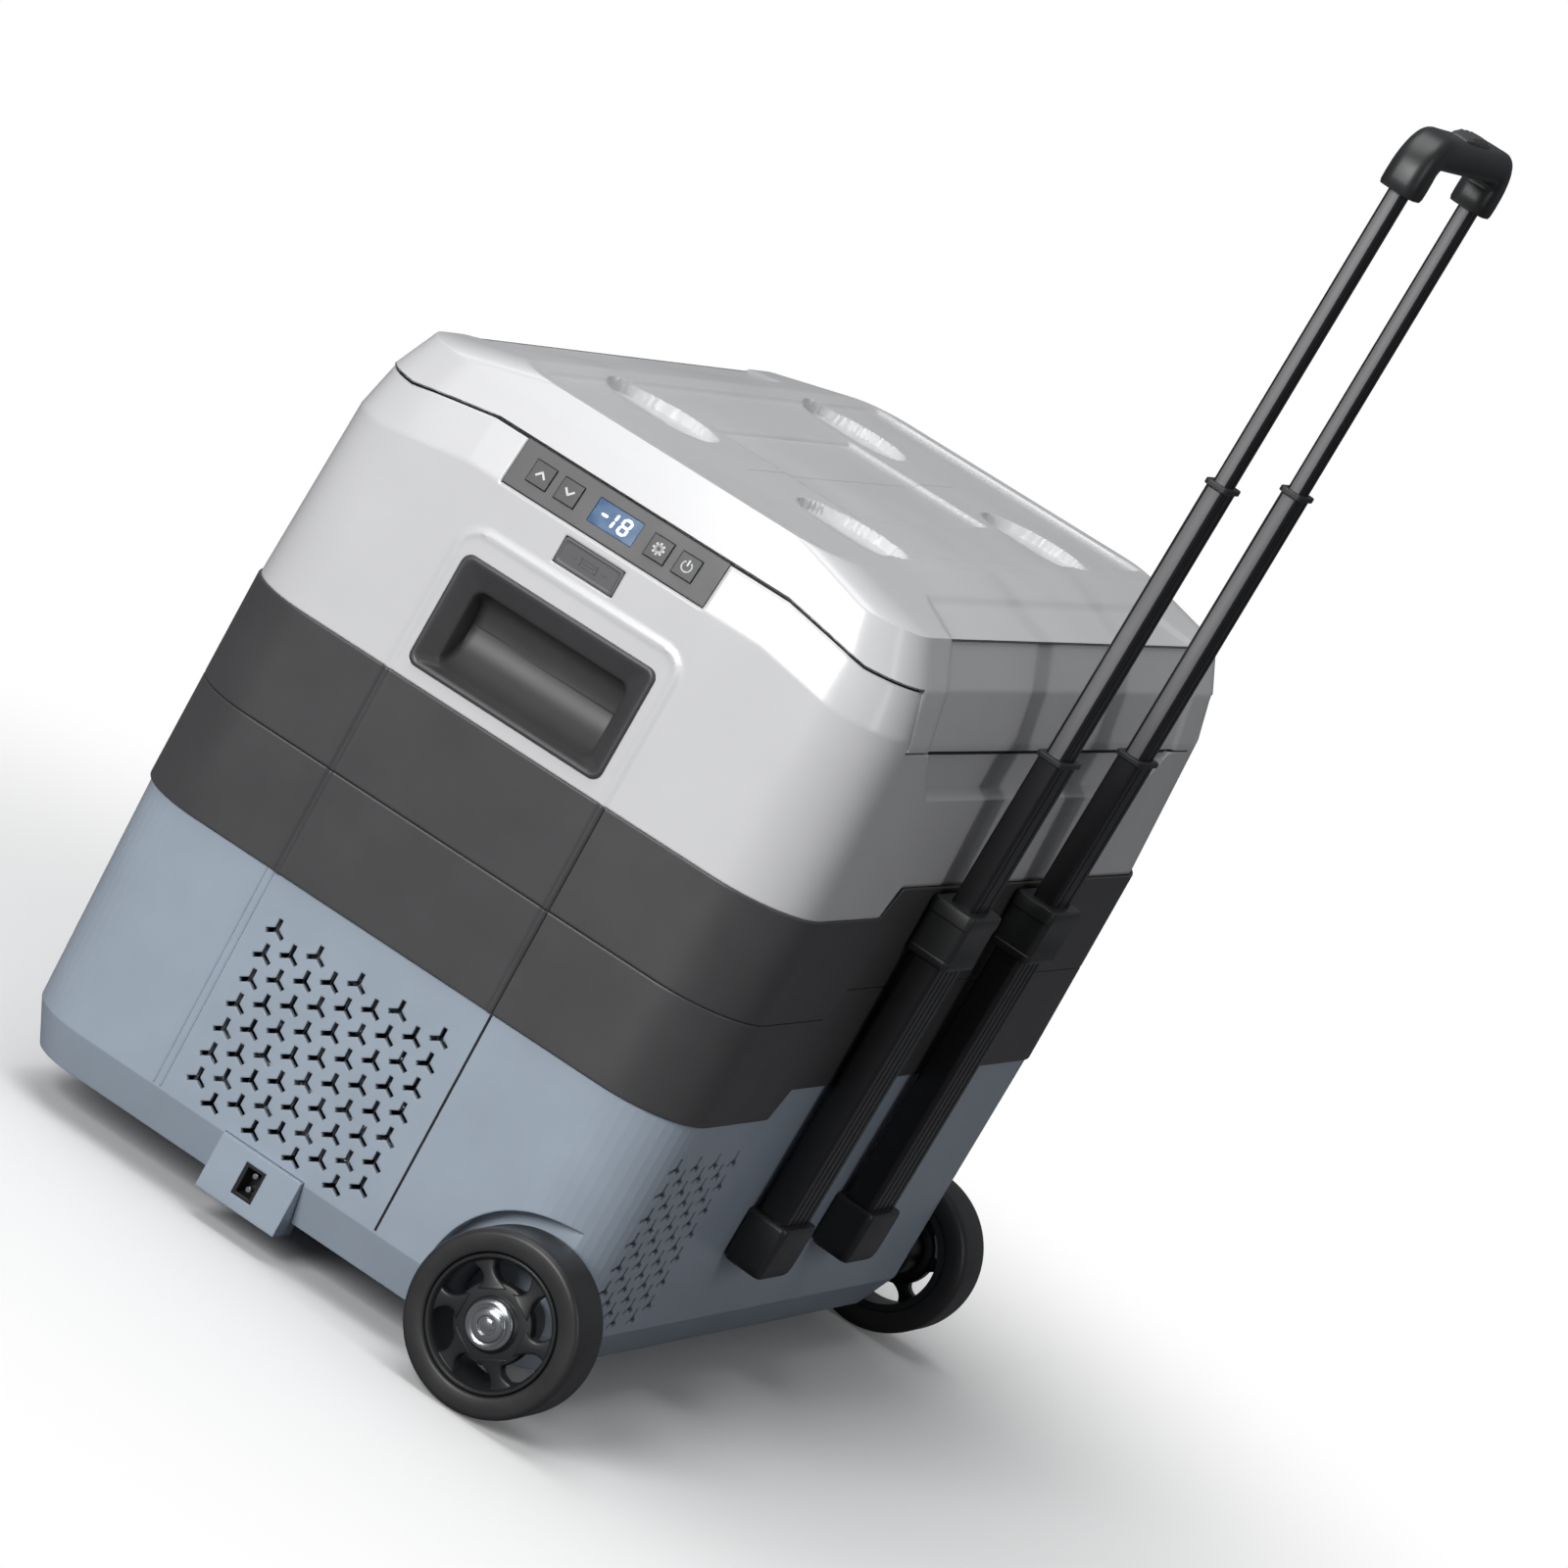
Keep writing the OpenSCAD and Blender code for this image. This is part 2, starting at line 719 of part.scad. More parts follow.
module compressor_feet() frame() color("black") {
    for (sx = [-1, 1], sy = [-1, 1])
        translate([comp_x + sx * comp_foot_pitch, comp_y + sy * comp_foot_pitch, tray_z + tray_t])
            cylinder(h = comp_foot_h - 3, r = 8);
}

// Finned block on two side plates, with the fins running front to back
module condenser() frame() color("silver") translate([strip_x, cond_y, cond_z]) {
    for (side = [-1, 1]) translate([side * (cond_w / 2 - 1) - 1, 0, 0]) cube([2, cond_t, cond_h]);
    for (side = [-1, 1]) translate([side * (cond_w / 2 - 4) - 4, cond_t / 2 - 4, tray_z - cond_z + tray_t])
        cube([8, 8, cond_z - tray_z - tray_t + 1]);
    for (k = [1:16]) translate([-cond_w / 2 + k * cond_w / 17 - 0.4, 1, 2]) cube([0.8, cond_t - 2, cond_h - 4]);
    for (k = [0:4]) translate([-cond_w / 2 - 3, cond_t / 2, 12 + k * 21]) rotate([0, 90, 0])
        cylinder(h = cond_w + 6, r = pipe_r);
}

module fan_frame() frame() color("black") translate([strip_x, fan_y, fan_z]) {
    difference() {
        translate([-fan_s / 2, 0, -fan_s / 2]) cube([fan_s, fan_t, fan_s]);
        translate([0, -1, 0]) rotate([-90, 0, 0]) cylinder(h = fan_t + 2, r = fan_s / 2 - 3);
        for (sx = [-1, 1], sz = [-1, 1])
            translate([sx * (fan_s / 2 - 5), -1, sz * (fan_s / 2 - 5)]) rotate([-90, 0, 0])
                cylinder(h = fan_t + 2, r = 2.1);
    }
    translate([0, fan_t - 4, 0]) rotate([-90, 0, 0]) cylinder(h = 4, r = hub_d / 2);
    for (k = [0:3]) rotate([0, 45 + 90 * k, 0]) translate([hub_d / 2 - 2, fan_t - 3, -2])
        cube([fan_s / 2 - hub_d / 2 + 1, 3, 4]);
    translate([0, 5, 0]) rotate([-90, 0, 0]) cylinder(h = fan_t - 6, r = 2);
    for (sx = [-1, 1]) translate([sx * (fan_s / 2 - 5), -2, fan_s / 2 - 5]) rotate([-90, 0, 0])
        cylinder(h = 3, r = 4);
}

module fan_rotor() frame() color("black") translate([strip_x, fan_y, fan_z]) difference() {
    union() {
        translate([0, 3, 0]) rotate([-90, 0, 0]) cylinder(h = fan_t - 8, r = hub_d / 2);
        intersection() {
            for (k = [0:blades - 1]) rotate([0, k * 360 / blades, 0])
                translate([hub_d / 2 - 3, fan_t / 2 - 1, 0]) rotate([34, 0, 0])
                    translate([0, -0.8, -13]) cube([fan_s, 1.6, 26]);
            translate([0, 3, 0]) rotate([-90, 0, 0]) cylinder(h = fan_t - 8, r = fan_s / 2 - 3 - fan_gap);
        }
    }
    translate([0, 4, 0]) rotate([-90, 0, 0]) cylinder(h = fan_t, r = 2 + running);
}

module power_module() frame() color("dimgray") translate([module_x, module_y, tray_z + tray_t]) {
    cube([56, 70, 46]);
    for (k = [0:6]) translate([4 + k * 7.5, 4, 45]) cube([2, 62, 16]);
}

module filter_drier() frame() color("darkgoldenrod") translate([drier_x, drier_y, tray_z + tray_t]) {
    translate([0, 0, 8]) cylinder(h = 70, r = 9);
    translate([0, 0, 78]) cylinder(h = 10, r1 = 9, r2 = pipe_r);
    cylinder(h = 9, r = 4);
}

// A run of pipe through a list of points, with a brazed ball at each turn
module pipe_run(points, r) {
    for (k = [0:len(points) - 2]) {
        a = points[k];
        d = points[k + 1] - a;
        translate(a) rotate([0, acos(d[2] / norm(d)), atan2(d[1], d[0])]) cylinder(h = norm(d), r = r);
    }
    for (k = [1:len(points) - 2]) translate(points[k]) sphere(r + ball_t);
}

comp_top = [comp_x + comp_d / 2 - 20, comp_y - 12, comp_z + comp_h + 4];
drier_top = [drier_x, drier_y, tray_z + tray_t + 88];
cond_left = [strip_x - cond_w / 2 - 3, cond_y + cond_t / 2, cond_z + 96];
module refrigerant_pipes() frame() color("peru") {
    pipe_run([comp_top, comp_top + [0, 0, 14], [cond_left[0] - 5, cond_left[1], comp_top[2] + 14],
        [cond_left[0] - 5, cond_left[1], cond_left[2]], [cond_left[0], cond_left[1], cond_left[2]]], pipe_r);
    pipe_run([drier_top, drier_top + [0, 0, 60], [drier_x, tub_y0 - 27, drier_top[2] + 60]], pipe_r);
}

module hand_pocket_place(end) {
    z = end < 0 ? bezel_z : rear_bezel_z;
    y = -half_l + upper_in + (z - upper_z) * tan(upper_tilt);
    rotate([0, 0, end < 0 ? 0 : 180]) translate([end < 0 ? strip_x : 0, y, z])
        rotate([-upper_tilt, 0, 0]) children();
}

module handle_insert(end) {
    hand_pocket_place(end) difference() {
        union() {
            face_box(bezel_w, bezel_h, -bezel_proud, bezel_t - bezel_proud - 1.2);
            face_box(pocket_w + 2 * pocket_wall, 2 * (pocket_r + pocket_wall), -1, pocket_r + pocket_wall);
        }
        rotate([0, 90, 0]) cylinder(h = pocket_w, r = pocket_r, center = true);
        face_box(pocket_w, 2 * pocket_r, -5, 0);
        // Slope of the bezel into the pocket
        for (side = [-1, 1]) {
            translate([0, -bezel_proud, side * (bezel_h / 2)]) rotate([side * -14, 0, 0])
                translate([-bezel_w, -10, -14]) cube([2 * bezel_w, 10, 28]);
        }
    }
}

module handle_insert_front() frame() color("dimgray") handle_insert(-1);

module handle_insert_rear() frame() color("dimgray") handle_insert(1);

module control_panel() frame() color("dimgray") on_front(panel_y, panel_z, brow_tilt) difference() {
    union() {
        face_box(panel_w, panel_h, -0.4, panel_t);
        face_box(panel_w - 6, panel_h - 4, panel_t - 0.1, board_y - 0.1);
    }
    for (x = button_x) translate([x, 0, 0]) {
        face_box(button_s + 2 * fit, button_s + 2 * fit, -5, panel_t + 1);
        face_box(button_s + 3.6, button_s + 3.6, panel_t - 1, reach);
    }
    face_box(display_w + 0.2, display_h + 0.2, -5, reach);
    translate([-39, 0, 0]) face_box(30, 17, panel_t + 1, reach);
    translate([37, 0, 0]) face_box(30, 17, panel_t + 1, reach);
}

module display_window() frame() color("steelblue") on_front(panel_y, panel_z, brow_tilt) {
    face_box(display_w, display_h, -0.2, board_y - 0.1);
}

module control_board() frame() color("darkgreen") on_front(panel_y, panel_z, brow_tilt) {
    face_box(panel_w - 8, panel_h - 5, board_y, board_y + 1.6);
    for (x = button_x) translate([x, 0, 0]) face_box(5, 5, board_y - 2, board_y + 0.1);
}

module button(x) {
    on_front(panel_y, panel_z, brow_tilt) translate([x, 0, 0]) {
        face_box(button_s, button_s, -1.2, button_t - 1.5);
        face_box(button_s + 2, button_s + 2, panel_t - 1 + 0.1, button_t - 1.2);
        face_box(4, 4, button_t - 1.3, board_y - 2 - button_travel - 0.1);
    }
}

module button_up() frame() color("black") button(button_x[0]);

module button_down() frame() color("black") button(button_x[1]);

module button_settings() frame() color("black") button(button_x[2]);

module button_power() frame() color("black") button(button_x[3]);

module usb_socket() frame() color("silver") on_front(usb_y, usb_z, upper_tilt) difference() {
    union() {
        face_box(13.4, 5.8, usb_t + 0.8, 16);
        face_box(14.6, 7.6, 5, 15);
    }
    face_box(12.4, 4.8, -1, 14);
    face_box(20, 20, -1, usb_t + 0.8);
}

// Rubber flap, hinged along its lower edge
module usb_cover() frame() color("dimgray") on_front(usb_y, usb_z, upper_tilt) {
    face_box(usb_w, usb_h, 0 - 0.3, usb_t - 0.3);
    face_box(9, 3, usb_t - 0.4, usb_t + 2);
    translate([0, 0, -usb_h / 2 + 1]) face_box(30, 2, usb_t - 0.4, usb_t + 0.2);
}

module inlet_place() {
    translate([strip_x, -half_l - inlet_proud + foot_in, inlet_z]) children();
}

module inlet_housing() frame() color("lightsteelblue") inlet_place() difference() {
    translate([-inlet_w / 2, 0, 0]) cube([inlet_w, 22, inlet_h]);
    translate([-inlet_w / 2 + 2.5, 2.5, 2.5]) cube([inlet_w - 5, 30, inlet_h - 5]);
    translate([-socket_w / 2, -1, socket_z - socket_h2]) cube([socket_w, 10, 2 * socket_h2]);
}

socket_w = 13;
socket_h2 = 9.5;
socket_z = 17;
module dc_socket() frame() color("black") inlet_place() difference() {
    translate([-socket_w / 2 + 0.1, 0.6, socket_z - socket_h2 + 0.1])
        cube([socket_w - 0.2, 19, 2 * socket_h2 - 0.2]);
    translate([-socket_w / 2 + 2, 0, socket_z - socket_h2 + 2]) cube([socket_w - 4, 14, 2 * socket_h2 - 4]);
}

module dc_pins() frame() color("silver") inlet_place() {
    for (side = [-1, 1]) translate([0, 4, socket_z + side * 4]) rotate([-90, 0, 0]) cylinder(h = 10, r = 1.6);
}

function skirt_level() = lid_level(skirt_z, skirt_in, skirt_in);
function joint_level() = lid_level(corner_z, joint_in, joint_in);
function shoulder_level() = lid_level(shoulder_z, shoulder_in, shoulder_in_y);
function flat_level() = lid_level(top_z, half_w - lid_flat_w / 2, flat_in_y);

module lid_shell() frame() color("gainsboro") difference() {
    union() {
        difference() {
            intersection() {
                union() {
                    loft(skirt_level(), joint_level());
                    loft(joint_level(), shoulder_level());
                    loft(shoulder_level(), flat_level());
                }
                lid_zone(0);
            }
            lid_cavity(wall);
            box(-skirt_x, skirt_x, -reach, reach, skirt_z - 1, corner_z);
        }
        for (sx = [-1, 1], sy = [-1, 1]) translate([sx * cup_x, sy * cup_y, top_z - tray_d - cup_depth - wall])
            cylinder(h = cup_depth + wall, r = cup_d / 2 + 2);
        difference() {
            for (end = [-1, 1]) {
                translate([hinge_x, end * knuckle_y, hinge_z]) rotate([90, 0, 0])
                    cylinder(h = knuckle_l, r = hinge_r, center = true);
                box(hinge_x - hinge_r, -skirt_x, end * knuckle_y - knuckle_l / 2, end * knuckle_y + knuckle_l / 2,
                    hinge_z, hinge_z + 8);
            }
            lid_outside_left();
        }
    }
    translate([0, 0, top_z - tray_d])
        rounded(lid_flat_w / 2 - tray_rim, half_l - flat_in_y - tray_rim, 20, tray_d + 1);
    translate([0, 0, top_z - tray_d - 2]) rounded(well_w / 2, well_l / 2, 8, 3);
    for (sx = [-1, 1], sy = [-1, 1]) translate([sx * cup_x, sy * cup_y, top_z - tray_d - cup_depth])
        cylinder(h = 20, r = cup_d / 2);
    for (end = [-1, 1], side = [-1, 1])
        box(-reach, -skirt_x + 1, end * knuckle_y + side * (knuckle_l / 2 + lug_gap + lug_l / 2) - lug_l / 2 - lug_gap,
            end * knuckle_y + side * (knuckle_l / 2 + lug_gap + lug_l / 2) + lug_l / 2 + lug_gap,
            skirt_z - hinge_r, hinge_z + hinge_r + 1.5);
    for (end = [-1, 1]) translate([hinge_x, end * knuckle_y, hinge_z]) rotate([90, 0, 0])
        cylinder(h = knuckle_l + 2, r = hinge_pin_d / 2 + running, center = true);
}

// Trims the knuckle webs to the skirt's sloped outside
module lid_outside_left() {
    slope = atan((joint_in - skirt_in) / (corner_z - skirt_z));
    translate([-half_w + skirt_in, 0, skirt_z]) rotate([0, slope, 0])
        translate([-reach, -reach, hinge_r + 2]) cube([reach, 2 * reach, reach]);
}

module lid_cavity(t) {
    difference() {
        union() {
            loft(raise(shrink(joint_level(), t), -1), raise(shrink(shoulder_level(), t), -2));
            loft(raise(shrink(shoulder_level(), t), -2 - skin), raise(shrink(flat_level(), t), -t));
        }
        box(-reach, reach, -reach, reach, top_z - tray_d - t - 2, top_z);
    }
    box(-skirt_x, skirt_x, -half_l + 14.5 + t, half_l - 14.5 - t, corner_z - 1.5, corner_z);
}

plug_y0 = shelf_y0 + plug_in;
plug_y1 = tub_y1 - plug_in;
liner_hw = half_w - joint_in - wall - 5;
liner_y0 = -half_l + 25;
liner_y1 = half_l - joint_in - wall - 3;

module lid_liner() frame() color("white") difference() {
    union() {
        translate([0, (liner_y0 + liner_y1) / 2, liner_z])
            rounded(liner_hw, (liner_y1 - liner_y0) / 2, 30, liner_t);
        translate([0, (plug_y0 + plug_y1) / 2, rim_z - plug_d])
            rounded(tub_w / 2 - plug_in, (plug_y1 - plug_y0) / 2, 12, liner_z - rim_z + plug_d + 0.1);
    }
    translate([0, (plug_y0 + plug_y1) / 2, rim_z - plug_d + liner_t])
        rounded(tub_w / 2 - plug_in - liner_t, (plug_y1 - plug_y0) / 2 - liner_t, 10, 40);
}

module lid_foam() frame() color("khaki") difference() {
    union() {
        intersection() {
            lid_cavity(wall + 1.5);
            box(-reach, reach, -reach, reach, liner_z + liner_t + fit, top_z - tray_d - 2 - wall - fit);
        }
        translate([0, (plug_y0 + plug_y1) / 2, rim_z - plug_d + liner_t + fit])
            rounded(tub_w / 2 - plug_in - liner_t - fit, (plug_y1 - plug_y0) / 2 - liner_t - fit, 9.7,
                liner_z - rim_z + plug_d + 1);
    }
    for (sx = [-1, 1], sy = [-1, 1]) translate([sx * cup_x, sy * cup_y, top_z - tray_d - cup_depth - wall - fit])
        cylinder(h = 40, r = cup_d / 2 + 2 + fit);
}

module lid_seal() frame() color("black") translate([0, (shelf_y0 + tub_y1) / 2, rim_z + seal_gap]) difference() {
    rounded(tub_w / 2 + 2 + seal_w, (tub_y1 - shelf_y0) / 2 + 2 + seal_w, tub_r + 8, seal_t);
    translate([0, 0, -1]) rounded(tub_w / 2 + 2, (tub_y1 - shelf_y0) / 2 + 2, tub_r + 2, seal_t + 2);
}

module hinge_pins() frame() color("silver") {
    for (end = [-1, 1]) translate([hinge_x, end * knuckle_y, hinge_z]) rotate([90, 0, 0])
        cylinder(h = knuckle_l + 2 * lug_l, r = hinge_pin_d / 2, center = true);
}

module axle() frame() color("silver") translate([axle_x, 0, axle_z]) rotate([90, 0, 0])
    cylinder(h = 2 * wheel_y1 + 4, r = axle_d / 2, center = true);

// A wheel part's place: its Z axis points out of the cabinet from the wheel's inner face
module wheel_place(end) {
    translate([axle_x, end * wheel_y0, axle_z]) rotate([end * -90, 0, 0]) children();
}

module tyre(end) {
    bevel = 3;
    wheel_place(end) rotate_extrude() polygon([
        [rim_r, 1], [wheel_r - bevel, 0], [wheel_r, bevel], [wheel_r, wheel_w - bevel],
        [wheel_r - bevel, wheel_w], [rim_r, wheel_w - 1]
    ]);
}

module tyre_front() frame() color("dimgray") tyre(-1);

module tyre_rear() frame() color("dimgray") tyre(1);

module rim(end) {
    face = wheel_w - 4;
    wheel_place(end) difference() {
        union() {
            rotate_extrude() polygon([
                [rim_r - rim_in, 1], [rim_r, 1], [rim_r, wheel_w - 1], [rim_r - rim_in, wheel_w - 1]
            ]);
            translate([0, 0, face - 8]) cylinder(h = 8, r = rim_r - rim_in + 0.2);
            cylinder(h = wheel_w - 1, r = hub_r - 4);
            translate([0, 0, face - 8]) cylinder(h = 9, r = hub_r);
        }
        for (k = [0:windows - 1]) rotate([0, 0, 18 + k * 360 / windows]) translate([0, 0, face - 12])
            window_cut();
        translate([0, 0, -1]) cylinder(h = wheel_w + 2, r = axle_d / 2 + running);
    }
}

// Curved window between two spokes
module window_cut() {
    r0 = hub_r + 1.5;
    r1 = rim_r - rim_in - 1.5;
    sweep = 44;
    intersection() {
        difference() {
            cylinder(h = 16, r = r1);
            translate([0, 0, -1]) cylinder(h = 18, r = r0);
        }
        linear_extrude(16) polygon([
            [0, 0], [2 * r1 * cos(sweep / 2), -2 * r1 * sin(sweep / 2)],
            [2 * r1, 0], [2 * r1 * cos(sweep / 2), 2 * r1 * sin(sweep / 2)]
        ]);
    }
}

module rim_front() frame() color("dimgray") rim(-1);

module rim_rear() frame() color("dimgray") rim(1);

module hub_caps() frame() color("silver") {
    for (end = [-1, 1]) wheel_place(end) difference() {
        translate([0, 0, wheel_w - 1 + fit]) union() {
            cylinder(h = 2, r = cap_r);
            translate([0, 0, 1.9]) cylinder(h = 2.5, r1 = cap_r - 2, r2 = cap_r - 5);
        }
        cylinder(h = wheel_w + 2, r = axle_d / 2 + 0.01);
    }
}

// A leg's own frame: X out of the cabinet, Y along it, Z up the leg
module leg_place() {
    for (side = [-1, 1])
        translate([leg_x, side * leg_pitch / 2, leg_z]) rotate([0, lean, 0]) children();
}

module bar(t, w, r, s0, s1) {
    translate([0, 0, s0]) rounded(t / 2, w / 2, r, s1 - s0);
}

module tube(t, w, r, inner_t, inner_w, s0, s1) {
    difference() {
        bar(t, w, r, s0, s1);
        bar(inner_t, inner_w, 1, s0 - 1, s1 + 1);
    }
}

module outer_tubes() frame() color("black") leg_place() difference() {
    tube(outer_t, outer_w, 3, first_t + 2 * slide, first_w + 2 * slide, cap_s0 + cap_floor, collar_s1 - 3);
    for (y = [-12, -6, 0, 6, 12])
        translate([outer_t / 2 - 0.8, y - 1.2, cap_s0 + cap_h]) cube([2, 2.4, collar_s0 - cap_s0 - cap_h]);
}

// Space inside the lower housing's sloped side
module inside_lower_side() {
    translate([half_w - foot_in + 0.05, 0, chamfer_z]) rotate([0, lower_tilt, 0])
        translate([-reach, -reach, -reach]) cube([reach, 2 * reach, 2 * reach]);
}

module leg_caps() frame() color("black") difference() {
    leg_place() difference() {
        union() {
            bar(outer_t + 2 * cap_wall, outer_w + 2 * cap_wall, 6, cap_s0, cap_s0 + cap_h);
            translate([-outer_t, -outer_w / 4, cap_s0 + 4]) cube([outer_t, outer_w / 2, cap_h - 8]);
        }
        bar(outer_t + 0.2, outer_w + 0.2, 3, cap_s0 + cap_floor, cap_s0 + cap_h + 1);
    }
    inside_lower_side();
}

module leg_collars() frame() color("black") difference() {
    leg_place() difference() {
        union() {
            bar(outer_t + 2 * cap_wall, outer_w + 2 * cap_wall, 6, collar_s0, collar_s1);
            translate([-outer_t - 8, -outer_w / 2, collar_s0 + 2]) cube([outer_t, outer_w, collar_h - 4]);
        }
        bar(outer_t + 0.2, outer_w + 0.2, 3, collar_s0 - 1, collar_s1 - 2.9);
        bar(first_t + 2 * slide, first_w + 2 * slide, 1.5, collar_s1 - 4, collar_s1 + 1);
    }
    box(-reach, half_w + 0.05, -reach, reach, -reach, reach);
}

module stage_tube(t, w, inner_t, inner_w, s1, length) {
    difference() {
        union() {
            bar(t, w, 2, s1 - length, s1);
            bar(t + 2 * ferrule_w, w + 2 * ferrule_w, 3, s1 - ferrule_h, s1);
        }
        bar(inner_t, inner_w, 1, s1 - length - 1, s1 + 1);
    }
}

module first_stage_tubes() frame() color("dimgray") leg_place()
    stage_tube(first_t, first_w, second_t + 2 * slide, second_w + 2 * slide, first_s, first_len);

module second_stage_tubes() frame() color("gray") leg_place()
    stage_tube(second_t, second_w, third_t + 2 * slide, third_w + 2 * slide, second_s, second_len);

module third_stage_tubes() frame() color("gray") leg_place()
    tube(third_t, third_w, 2, third_t - 2 * tube_wall, third_w - 2 * tube_wall, third_s - third_len, third_s + 10);

module grip_place() {
    translate([leg_x, 0, leg_z]) rotate([0, lean, 0]) translate([0, 0, third_s]) children();
}

module grip_outline(half, h, r) {
    translate([-half, 0]) square([2 * half, h - r]);
    translate([-half + r, 0]) square([2 * (half - r), h]);
    for (side = [-1, 1]) translate([side * (half - r), h - r]) circle(r);
}

module trolley_grip() frame() color("black") grip_place() difference() {
    translate([-grip_t / 2, 0, 0]) rotate([90, 0, 90]) linear_extrude(grip_t) difference() {
        grip_outline(grip_half, grip_h, grip_r);
        translate([0, -1]) grip_outline(leg_pitch / 2 - 13, socket_h + 1, 8);
    }
    for (side = [-1, 1]) translate([0, side * leg_pitch / 2, 0]) {
        bar(third_t + 0.1, third_w + 0.1, 2, -1, 10.05);
        translate([0, 0, 9]) cylinder(h = grip_h - 9 - 6, r = rod_r + 0.6);
    }
    // Channel for the release bar and the button's window
    translate([-4, -leg_pitch / 2 - 3, grip_h - 15]) cube([8, leg_pitch + 6, 9]);
    translate([-7, -release_w / 2 - fit, grip_h - 15]) cube([14, release_w + 2 * fit, 20]);
}

module release_button() frame() color("black") grip_place() {
    translate([-7 + fit, -release_w / 2, grip_h - 7]) cube([14 - 2 * fit, release_w, 10]);
}

module release_rods() frame() color("silver") grip_place() {
    translate([-3, -leg_pitch / 2 - 2, grip_h - 10]) cube([6, leg_pitch + 4, 3]);
    for (side = [-1, 1]) translate([0, side * leg_pitch / 2, -third_len + 4])
        cylinder(h = third_len + grip_h - 14 + 0.5, r = rod_r);
}

lower_housing();
lower_band();
upper_band();
upper_housing();
inner_tub();
insulation();
evaporator();
base_tray();
base_screws();
rubber_feet();
compressor();
compressor_feet();
condenser();
fan_frame();
fan_rotor();
power_module();
filter_drier();
refrigerant_pipes();
handle_insert_front();
handle_insert_rear();
control_panel();
display_window();
control_board();
button_up();
button_down();
button_settings();
button_power();
usb_socket();
usb_cover();
inlet_housing();
dc_socket();
dc_pins();
lid_shell();
lid_liner();
lid_foam();
lid_seal();
hinge_pins();
axle();
tyre_front();
tyre_rear();
rim_front();
rim_rear();
hub_caps();
leg_caps();
outer_tubes();
leg_collars();
first_stage_tubes();
second_stage_tubes();
third_stage_tubes();
trolley_grip();
release_button();
release_rods();
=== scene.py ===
"""Looks of the wheeled compressor cooler, built round its packed CAD frame.

Lengths inside the builders are millimetres in the cabinet's own axes (x = 0 in the middle of the
cabinet, front face towards -Y) and become metres in the row frame when a mesh is made.
"""
import math

import bmesh
import bpy
import numpy as np
from bpy.props import FloatProperty, FloatVectorProperty, IntProperty, PointerProperty, StringProperty
from mathutils import Matrix, Vector


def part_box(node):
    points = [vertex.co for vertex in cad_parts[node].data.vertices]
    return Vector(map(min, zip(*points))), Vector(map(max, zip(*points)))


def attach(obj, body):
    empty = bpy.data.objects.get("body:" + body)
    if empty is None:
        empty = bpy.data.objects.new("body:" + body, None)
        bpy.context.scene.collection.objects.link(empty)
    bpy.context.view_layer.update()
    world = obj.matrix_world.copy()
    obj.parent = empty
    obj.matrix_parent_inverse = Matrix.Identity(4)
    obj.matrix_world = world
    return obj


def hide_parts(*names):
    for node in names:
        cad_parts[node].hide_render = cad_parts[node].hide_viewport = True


bl_info = {
    "name": "Compressor cooler looks",
    "version": (1, 0, 0),
    "blender": (4, 5, 0),
    "location": "3D View > Sidebar > Cooler",
    "description": "Builds the surfaces, finishes and studio of a wheeled compressor cooler",
    "category": "Object",
}

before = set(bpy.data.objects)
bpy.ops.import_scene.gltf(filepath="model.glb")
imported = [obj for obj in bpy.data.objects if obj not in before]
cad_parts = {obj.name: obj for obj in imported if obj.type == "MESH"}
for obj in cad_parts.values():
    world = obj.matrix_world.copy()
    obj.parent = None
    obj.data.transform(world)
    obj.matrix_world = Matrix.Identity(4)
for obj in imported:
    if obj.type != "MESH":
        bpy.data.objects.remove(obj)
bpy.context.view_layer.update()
MM = 0.001

# The cabinet's own measures, in millimetres; the frame gives its place
HALF_W, HALF_L, CORNER_R = 182.5, 289.5, 50.0
CORE_X, CORE_Y = HALF_W - CORNER_R, HALF_L - CORNER_R
CHAMFER_Z, BAND_Z, MID_Z, UPPER_Z = 47.0, 181.0, 243.5, 306.0
CREASE_Z, JOINT_Z, CORNER_Z, SKIRT_Z, TOP_Z = 420.0, 447.0, 438.0, 405.0, 476.0
CORNER_FALL = JOINT_Z - CORNER_Z
JOG_Y, JOG_RUN, JOG_H = -146.5, 12.0, 18.0
WALL = 3.0
UPPER_IN, CREASE_IN, BROW_IN = 1.2, 6.0, 12.5
UPPER_TILT = math.atan((CREASE_IN - UPPER_IN) / (CREASE_Z - UPPER_Z))
BROW_TILT = math.atan((BROW_IN - CREASE_IN) / (JOINT_Z - CREASE_Z))
# Openings for the front fittings, centred on FRONT_X, and for the rear hand pocket
FRONT_X = -8.0
PANEL_HW = 65.3
USB_Z, USB_HW, USB_HH = 407, 19.3, 7.8
POCKET_HW, POCKET_HH = 60.2, 30.8
POCKET_Z = {-1: 347.0, 1: 365.0}
# The raised strip down the front: half width, corner radius, middle, and the dark line (painted shadow of its
# step) and rib at its sides
STRIP_HW, STRIP_R, STRIP_X, STEP_SHADOW_X, RIB_X = 72.0, 15.0, -7.0, 65.0, -79.0
# The lid: sunk side panels, tray, middle rectangle and cups
SIDE_SUNK, SIDE_HALF = 1.6, 209
TRAY_HALF, WELL_HALF, WELL_DEPTH, CUP_AT = (93, 257), (47, 104), 2.0, (63, 148)
LEAN = math.radians(1.6)
LEG_X, LEG_Z, LEG_HALF, GRIP_FOOT = 197.0, 300.0, 67.5, 467.0
AXLE_X, WHEEL_R, WHEEL_W, WHEEL_Y0 = 155.0, 50.0, 38.0, 278.5


